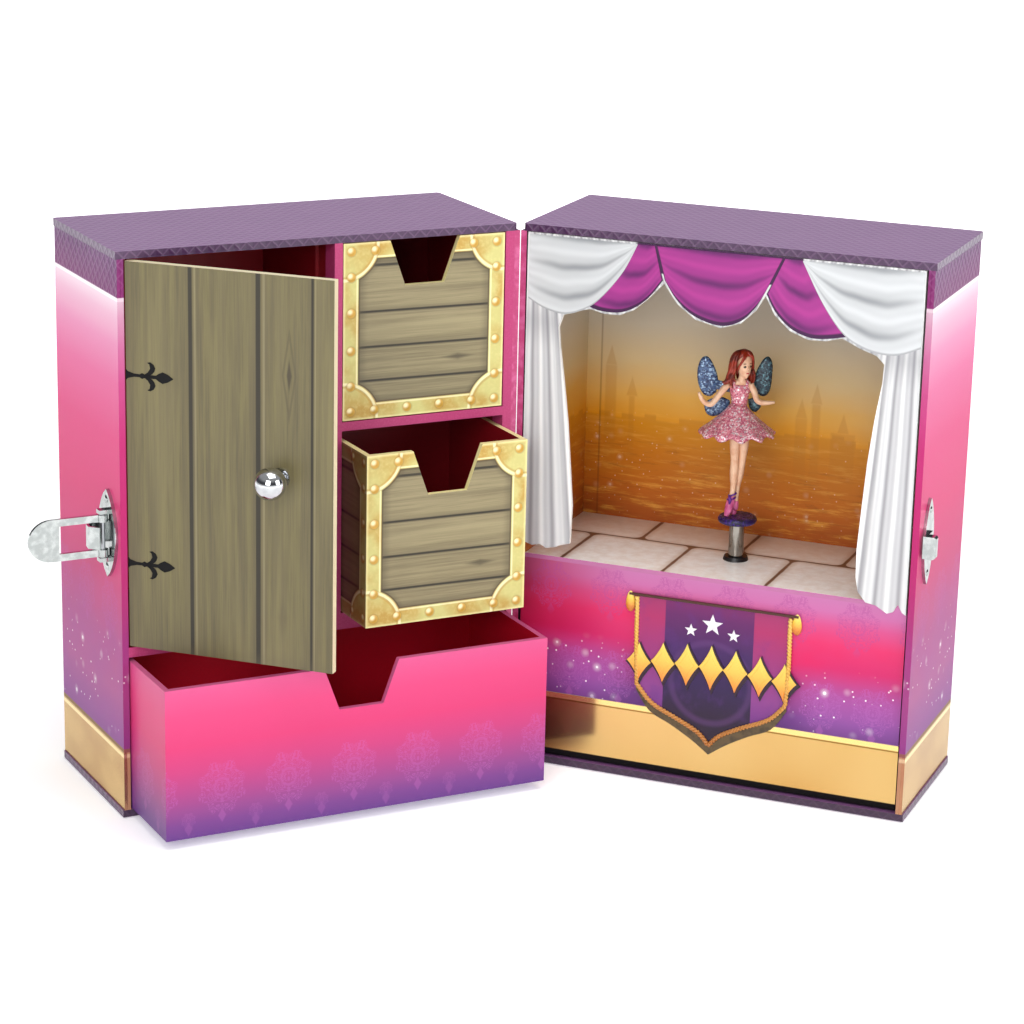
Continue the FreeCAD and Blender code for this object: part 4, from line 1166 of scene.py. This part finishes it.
def ellipse_ring(x, y, z, half_x, half_y, count=20, ruffle=0.0, waves=0, tilt=0.0):
    """One level of a rounded body; ruffle and waves give it a wavy edge."""
    ring = []
    for k in range(count):
        angle = 2 * math.pi * k / count
        swell = 1.0 + ruffle * math.sin(waves * angle)
        px = x + half_x * swell * math.cos(angle)
        py = y + half_y * swell * math.sin(angle)
        ring.append(figure(px, py, z + tilt * math.cos(waves * angle + 0.8)))
    return ring


def make_limbs(skin):
    bm = bmesh.new()
    limbs = (
        ([(-2.0, 0.2, 128.0), (-2.1, 0.1, 121.0), (-1.9, -0.2, 116.0), (-1.9, 0.4, 111.0), (-2.0, 0.2, 105.5),
          (-2.6, -0.4, 101.0)], [2.0, 1.75, 1.45, 1.55, 1.0, 1.1]),
        ([(1.2, 0.4, 128.0), (1.2, 0.4, 121.0), (0.9, 0.8, 116.5), (0.3, 1.8, 111.0), (-0.4, 2.2, 105.0),
          (-0.9, 1.8, 98.6)], [1.9, 1.65, 1.3, 1.45, 0.95, 1.0]),
        ([(-5.2, 0.6, 144.2), (-7.6, -0.4, 141.4), (-10.2, -1.4, 138.0), (-11.6, -1.8, 136.9),
          (-13.6, -2.2, 137.6), (-15.0, -2.4, 139.4), (-15.9, -2.4, 141.4)],
         [1.25, 1.2, 1.05, 1.0, 0.85, 0.75, 0.45]),
        ([(2.6, 0.6, 144.0), (4.0, -0.4, 141.4), (4.9, -1.4, 138.8), (6.6, -2.0, 138.0), (9.0, -2.4, 138.1),
          (11.2, -2.6, 138.4)], [1.2, 1.15, 1.0, 0.95, 0.75, 0.4]),
        ([(-0.9, 0.6, 143.0), (-0.7, 0.2, 145.6), (-0.3, 0.0, 148.4)], [1.6, 1.3, 1.3]),
        ([(-4.6, 0.6, 143.6), (-1.0, 0.5, 144.4), (2.2, 0.6, 143.6)], [1.4, 1.7, 1.35]),
    )
    for points, radii in limbs:
        limb(bm, points, radii, 18, 14, figure)
    piece = new_object("dancer_limbs", bm, "spindle", skin, True)
    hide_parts("figurine_legs", "figurine_torso")


def make_dress():
    bm = bmesh.new()
    bodice = []
    for z, half_x, half_y in ((136.4, 2.8, 2.2), (138.0, 2.9, 2.3), (140.0, 3.3, 2.6), (141.8, 3.7, 2.9),
                              (143.2, 3.6, 2.6), (144.0, 3.1, 2.0)):
        bodice.append(ellipse_ring(-1.1, 0.4, z, half_x, half_y, 24))
    ring_loft(bm, bodice)
    for side in (-1, 1):
        strap = [figure(-1.1 + side * 2.2, -1.7, 143.6), figure(-1.1 + side * 2.5, -0.9, 145.3),
                 figure(-1.1 + side * 2.6, 0.8, 145.4), figure(-1.1 + side * 2.4, 2.2, 143.6)]
        tube(bm, strap, [0.5, 0.55, 0.55, 0.5], 8)
    outer, inner = [], []
    profile = ((136.8, 2.7), (135.4, 3.7), (133.4, 5.6), (131.2, 7.9), (129.2, 10.2), (127.6, 12.2),
               (126.6, 13.4))
    for index, (z, reach) in enumerate(profile):
        share = index / (len(profile) - 1)
        outer.append(ellipse_ring(-1.6 + 0.2 * share, 0.2, z, reach, reach * 0.9, 96, 0.05 * share, 11,
                                  0.7 * share * share))
        inner.append(ellipse_ring(-1.6 + 0.2 * share, 0.2, z - 0.8, reach - 0.5, (reach - 0.5) * 0.9, 96,
                                  0.05 * share, 11, 0.7 * share * share))
    ring_loft(bm, outer + list(reversed(inner)))
    dress = glitter("glitter dress", "d9808f", "fff0f2", "b04c6a", 2.0)
    piece = new_object("dancer_dress", bm, "spindle", dress, True)
    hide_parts("figurine_skirt")


FACE_TURN = math.radians(26)
# height, half width, reach to the front and reach to the back
FACE_RINGS = ((146.7, 0.5, 2.3, 0.2), (147.2, 1.15, 2.6, 0.9), (148.2, 1.9, 2.85, 1.7),
              (149.6, 2.45, 2.95, 2.3), (151.2, 2.8, 3.0, 2.9), (152.8, 2.85, 2.9, 3.1),
              (154.4, 2.4, 2.4, 2.8), (155.4, 1.6, 1.5, 2.0), (155.9, 0.6, 0.6, 0.8))
# the same for the crown of the hair, and how far back its middle is
CROWN_RINGS = ((150.6, 3.1, 0.4, 3.3, 0.6), (152.2, 3.3, 0.8, 3.6, 0.5), (153.8, 3.2, 2.2, 3.5, 0.4),
               (155.2, 2.7, 2.6, 2.9, 0.2), (156.3, 1.9, 1.8, 2.1, 0.1), (156.9, 0.8, 0.8, 0.9, 0.1))


def make_head(skin):
    """Small calm doll's face turned a little to one side, with long hair over the shoulders."""
    turn = FACE_TURN

    def head(x, y, z):
        return figure(-0.1 + x * math.cos(turn) - y * math.sin(turn),
                      -0.2 + x * math.sin(turn) + y * math.cos(turn), z)

    bm = bmesh.new()
    rings = []
    for z, half_x, front, back in FACE_RINGS:
        rings.append([head(half_x * x, (back if y > 0 else front) * y, z) for x, y in circle(28)])
    ring_loft(bm, rings)
    nose = [head(0.0, -2.85, 151.4), head(0.0, -3.25, 150.6), head(0.0, -3.4, 150.1), head(0.0, -2.9, 149.8)]
    tube(bm, nose, [0.18, 0.32, 0.36, 0.15], 10)
    piece = new_object("dancer_face", bm, "spindle", skin, True)
    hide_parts("figurine_head")

    def dabs(name, spots, material):
        dab = bmesh.new()
        for x, y, z, wide, tall in spots:
            rings = []
            for step in range(7):
                tilt = math.pi * (0.04 + 0.92 * step / 6)
                size = math.sin(tilt)
                level = z - tall * math.cos(tilt)
                rings.append([head(x + wide * size * across, y + 0.22 * size * deep, level)
                              for across, deep in circle(12)])
            ring_loft(dab, rings)
        new_object(name, dab, "spindle", material, True)

    dabs("dancer_eyes", ((-1.1, -2.76, 151.1, 0.60, 0.42), (1.1, -2.76, 151.1, 0.60, 0.42)),
         plain("painted eyes", "2c1610", rough=0.35))
    dabs("dancer_brows", ((-1.15, -2.68, 152.2, 0.7, 0.14), (1.15, -2.68, 152.2, 0.7, 0.14)),
         plain("painted brows", "6a2a16", rough=0.45))
    dabs("dancer_lips", ((0.0, -2.86, 148.7, 0.62, 0.26),), plain("painted lips", "c8323c", rough=0.35))

    hair = bmesh.new()
    ring_loft(hair, [[head(half_x * x, middle + (back if y > 0 else front) * y, z) for x, y in circle(28)]
                     for z, half_x, front, back, middle in CROWN_RINGS])

    def strand(points, radii):
        line = smooth_line(points, len(radii) - 1)
        tube(hair, [head(*point) for point in line], radii, 7)

    picks = random.Random(7)
    for index in range(46):
        share = index / 45
        angle = math.radians(-22 + 226 * share)
        spread = 1.0 + picks.uniform(-0.06, 0.10)
        drop = 144.4 + picks.uniform(-1.6, 1.4)
        out_x = math.cos(angle) * (3.5 if math.cos(angle) > 0 else 4.3) * spread
        out_y = math.sin(angle) * 3.5 * spread + 0.5
        flow = picks.uniform(-0.5, 0.5)
        curl = picks.uniform(-0.55, 0.55)
        points = [(0.15 * out_x, 0.2, 156.6), (0.72 * out_x, 0.72 * out_y, 155.4), (out_x, out_y, 152.4),
                  (out_x * 1.10 + flow * 0.4 + curl, out_y + 0.2, 149.6),
                  (out_x * 1.16 + flow - curl, out_y + 0.3, 146.9),
                  (out_x * 1.0 + flow * 1.4, out_y + 0.2, drop)]
        size = picks.uniform(0.42, 0.62)
        radii = [size * (0.7 + 0.5 * math.sin(math.pi * k / 14)) * (1.0 - 0.6 * (k / 14) ** 3)
                 for k in range(15)]
        strand(points, radii)
    for index in range(9):
        lift = 0.8 * index
        reach = -4.6 - 0.25 * index if index < 6 else 3.6
        points = [(-0.2, 1.0, 156.2), (reach * 0.62, 0.6, 154.6 - lift * 0.3),
                  (reach * 0.86, 0.4, 151.6 - lift * 0.4),
                  (reach * 0.98, -0.2 + lift * 0.3, 149.0 - lift * 0.5),
                  (reach * 1.16, -0.4 + lift * 0.3, 146.6 - lift * 0.4),
                  (reach * 1.34, 0.2 + lift * 0.2, 146.3 - lift * 0.2)]
        strand(points, [0.30 + 0.55 * math.sin(math.pi * k / 15) for k in range(15)])
    for sign, start in ((1, 0.4), (-1, -0.2), (1, 0.9), (-1, -0.9)):
        points = [(start * 0.3, -1.2, 156.4), (start + sign * 0.8, -2.7, 154.9), (sign * 2.2, -2.5, 153.2),
                  (sign * 3.0, -1.4, 150.8), (sign * 3.1, -0.6, 148.6)]
        strand(points, [0.55 - 0.02 * k for k in range(13)])
    red = plain("red-brown hair", "9c2c12", rough=0.42, grain=0.1, second="5a160a")
    new_object("dancer_hair", hair, "spindle", red, True)


def wing_plate(bm, outline, y, thick):
    """Rounded wing lobe, thickest in its middle, from (x, z) corners."""
    line = smooth_line(outline + [outline[0]], 40)[:-1]
    cx = sum(point[0] for point in line) / len(line)
    cz = sum(point[1] for point in line) / len(line)
    rings = []
    for size, depth in ((0.12, -0.5), (0.5, -0.45), (0.85, -0.3), (1.0, 0.0), (0.85, 0.3), (0.5, 0.45),
                        (0.12, 0.5)):
        rings.append([figure(cx + (x - cx) * size, y + depth * thick, cz + (z - cz) * size) for x, z in line])
    ring_loft(bm, rings)


WING_LOBES = {
    "left": ([(-9.2, 140.0), (-8.8, 145.0), (-10.4, 149.6), (-12.6, 152.8), (-14.8, 152.4), (-16.2, 148.6),
              (-15.9, 143.4), (-14.0, 139.4), (-11.4, 138.4)],
             [(-4.0, 136.8), (-7.0, 138.2), (-10.6, 137.6), (-13.2, 135.6), (-12.6, 132.4), (-10.4, 131.0),
              (-7.0, 132.0), (-4.6, 134.4)]),
    "right": ([(3.6, 144.4), (5.0, 148.4), (6.8, 152.0), (8.8, 153.4), (10.4, 151.0), (10.5, 146.0),
               (9.9, 141.0), (8.0, 138.8), (5.4, 139.8), (3.8, 142.0)],
              [(2.2, 137.6), (4.8, 138.2), (6.9, 137.0), (6.8, 134.6), (5.0, 132.9), (3.0, 134.2)]),
}


def make_wings():
    # painted shade: the right wing gets a darker set of colours than the left
    colours = {"left": ("47628c", "9cb8d4", "232e56"), "right": ("26404f", "5f8690", "10192a")}
    for name, lobes in WING_LOBES.items():
        bm = bmesh.new()
        for lobe in lobes:
            wing_plate(bm, lobe, 4.4, 1.3)
        root = {"left": [(-1.4, 3.4, 141.0), (-6.0, 4.2, 142.0), (-10.0, 4.4, 143.0)],
                "right": [(-0.6, 3.4, 141.0), (2.6, 4.2, 141.6), (5.0, 4.4, 142.4)]}[name]
        tube(bm, [figure(*point) for point in root], [1.4, 1.6, 1.8], 10, 0.35, BACK_DIR)
        base, light, dark = colours[name]
        piece = new_object(f"dancer_wing_{name}", bm, "spindle",
                           glitter(f"{name} wing glitter", base, light, dark, 2.0), True)
        if name == "left":
            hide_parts("figurine_wings")


def make_shoes():
    bm = bmesh.new()
    shoes = (([(-2.3, -0.2, 102.6), (-2.9, -0.7, 100.0), (-3.6, -1.4, 97.6), (-4.3, -2.2, 95.7)],
              [1.25, 1.5, 1.35, 0.75]),
             ([(-0.8, 1.9, 100.4), (-1.0, 1.6, 98.4), (-1.3, 1.0, 96.6), (-1.6, 0.4, 95.6)],
              [1.15, 1.3, 1.15, 0.7]))
    for points, radii in shoes:
        limb(bm, points, radii, 10, 14, figure)
    new_object("dancer_shoes", bm, "spindle",
               plain("pink shoes", "df6fa0", rough=0.35, second="b8487c"), True)
    ribbon = bmesh.new()
    for z, x, size in ((103.4, -2.2, 1.3), (101.9, -2.5, 1.45)):
        ring = [figure(x + size * math.cos(k * math.pi / 8), -0.3 + size * math.sin(k * math.pi / 8),
                       z + 0.5 * math.cos(k * math.pi / 8)) for k in range(17)]
        tube(ribbon, ring, [0.32] * 17, 6)
    bow = [figure(-3.4, -1.6, 103.2), figure(-3.0, -2.0, 101.8), figure(-3.3, -2.3, 100.2)]
    tube(ribbon, bow, [0.4, 0.75, 0.3], 8)
    new_object("dancer_ribbon", ribbon, "spindle", plain("purple ribbon", "5c1c86", rough=0.4),
               True)


def make_turntable():
    """Glittered disc with a rounded rim."""
    low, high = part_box("turntable_disc")
    radius = (high.x - low.x) / 2 / MM - 0.2
    top = high.z / MM
    rim = (high.z - low.z) / 2 / MM - 0.02
    rings = [(0.3, top - 2 * rim)]
    for step in range(15):
        angle = math.pi * (step / 14 - 0.5)
        rings.append((radius - rim + rim * math.cos(angle), top - rim + rim * math.sin(angle)))
    rings.append((0.3, top))
    bm = bmesh.new()
    ring_loft(bm, [ellipse_ring(0, 0, z, reach, reach, 64) for reach, z in rings])
    piece = new_object("turntable_pad", bm, "spindle",
                       glitter("violet disc", "1e0a4c", "4a2a92", "0c0320", 1.6), True)
    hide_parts("turntable_disc")


def make_dancer():
    skin = plain("painted skin", "edc3a2", rough=0.4, second="e0aa86")
    make_limbs(skin)
    make_dress()
    make_head(skin)
    make_wings()
    make_shoes()
    make_turntable()


# ---- lights, floor and camera ----
WORLD_LIGHT = 0.92
SKY_DOME = [(0.04, (1.0, 1.0, 1.0, 1.0)), (0.12, (0.08, 0.08, 0.09, 1.0)), (0.34, (0.08, 0.08, 0.09, 1.0)),
            (0.60, (0.42, 0.42, 0.42, 1.0))]
LAMPS = (("key light", (-1.05, -1.25, 0.80), 0.9, 14), ("fill light", (0.9, -1.4, 0.7), 0.9, 8.5),
         ("top light", (0.0, -0.35, 1.6), 1.2, 13), ("back light", (0.85, 1.60, 0.75), 1.6, 3.2))


def make_studio():
    """Pale floor that glows, more strongly far off, graded sky and area lamps."""
    bpy.ops.mesh.primitive_plane_add(size=8, location=(0, 0, -0.0004))
    floor = bpy.context.object
    floor.name = "floor"
    net = Net("pale floor")
    east, north, _ = net.place_mm()
    far = (east * east + north * north).sqrt().step(250, 1500)
    net.paint("ffffff", rough=0.9, specular=0.0)
    # the floor glows by emission, faintly near the box and more strongly far off
    net.feed(net.shader.inputs["Emission Color"], (1.0, 1.0, 1.0, 1.0))
    net.feed(net.shader.inputs["Emission Strength"], far * 0.9 + 0.30)
    floor.data.materials.append(net.material)
    world = bpy.data.worlds.new("studio")
    world.use_nodes = True
    bpy.context.scene.world = world
    tree = world.node_tree
    background = tree.nodes["Background"]
    background.inputs["Strength"].default_value = WORLD_LIGHT
    direction = tree.nodes.new("ShaderNodeTexCoord")
    split = tree.nodes.new("ShaderNodeSeparateXYZ")
    tree.links.new(direction.outputs["Generated"], split.inputs[0])
    sky = tree.nodes.new("ShaderNodeValToRGB")
    tree.links.new(split.outputs[2], sky.inputs[0])
    fill_ramp(sky, SKY_DOME)
    tree.links.new(sky.outputs[0], background.inputs["Color"])
    for name, place_at, size, power in LAMPS:
        lamp = bpy.data.lights.new(name, "AREA")
        lamp.energy = power
        lamp.size = size
        obj = bpy.data.objects.new(name, lamp)
        obj.location = place_at
        obj.rotation_euler = (Vector((0, 0, 0.1)) - Vector(place_at)).to_track_quat("-Z", "Y").to_euler()
        bpy.context.scene.collection.objects.link(obj)


LENS_MM = 104.77
CAMERA_OFFSET = Vector((-0.47209, -0.91987, 0.39457))
CAMERA_YAW, CAMERA_PITCH, CAMERA_ROLL = (math.radians(angle) for angle in (-27.124, 16.202, 1.324))


def make_camera():
    """Camera at the photograph's angle, measured from the spine hinge line."""
    camera = bpy.data.cameras.new("camera")
    camera.sensor_width = 36.0
    camera.lens = LENS_MM
    obj = bpy.data.objects.new("camera", camera)
    bpy.context.scene.collection.objects.link(obj)
    turn = (Matrix.Rotation(CAMERA_YAW, 4, "Z") @ Matrix.Rotation(math.pi / 2 - CAMERA_PITCH, 4, "X")
            @ Matrix.Rotation(CAMERA_ROLL, 4, "Z"))
    obj.matrix_world = Matrix.Translation(HINGE + CAMERA_OFFSET) @ turn
    bpy.context.scene.camera = obj
    bpy.context.scene.view_settings.view_transform = "Standard"


finish_boards()
finish_parts()
make_drapes()
make_banner()
make_emblem()
make_strap_hinges()
make_dancer()
make_studio()
make_camera()
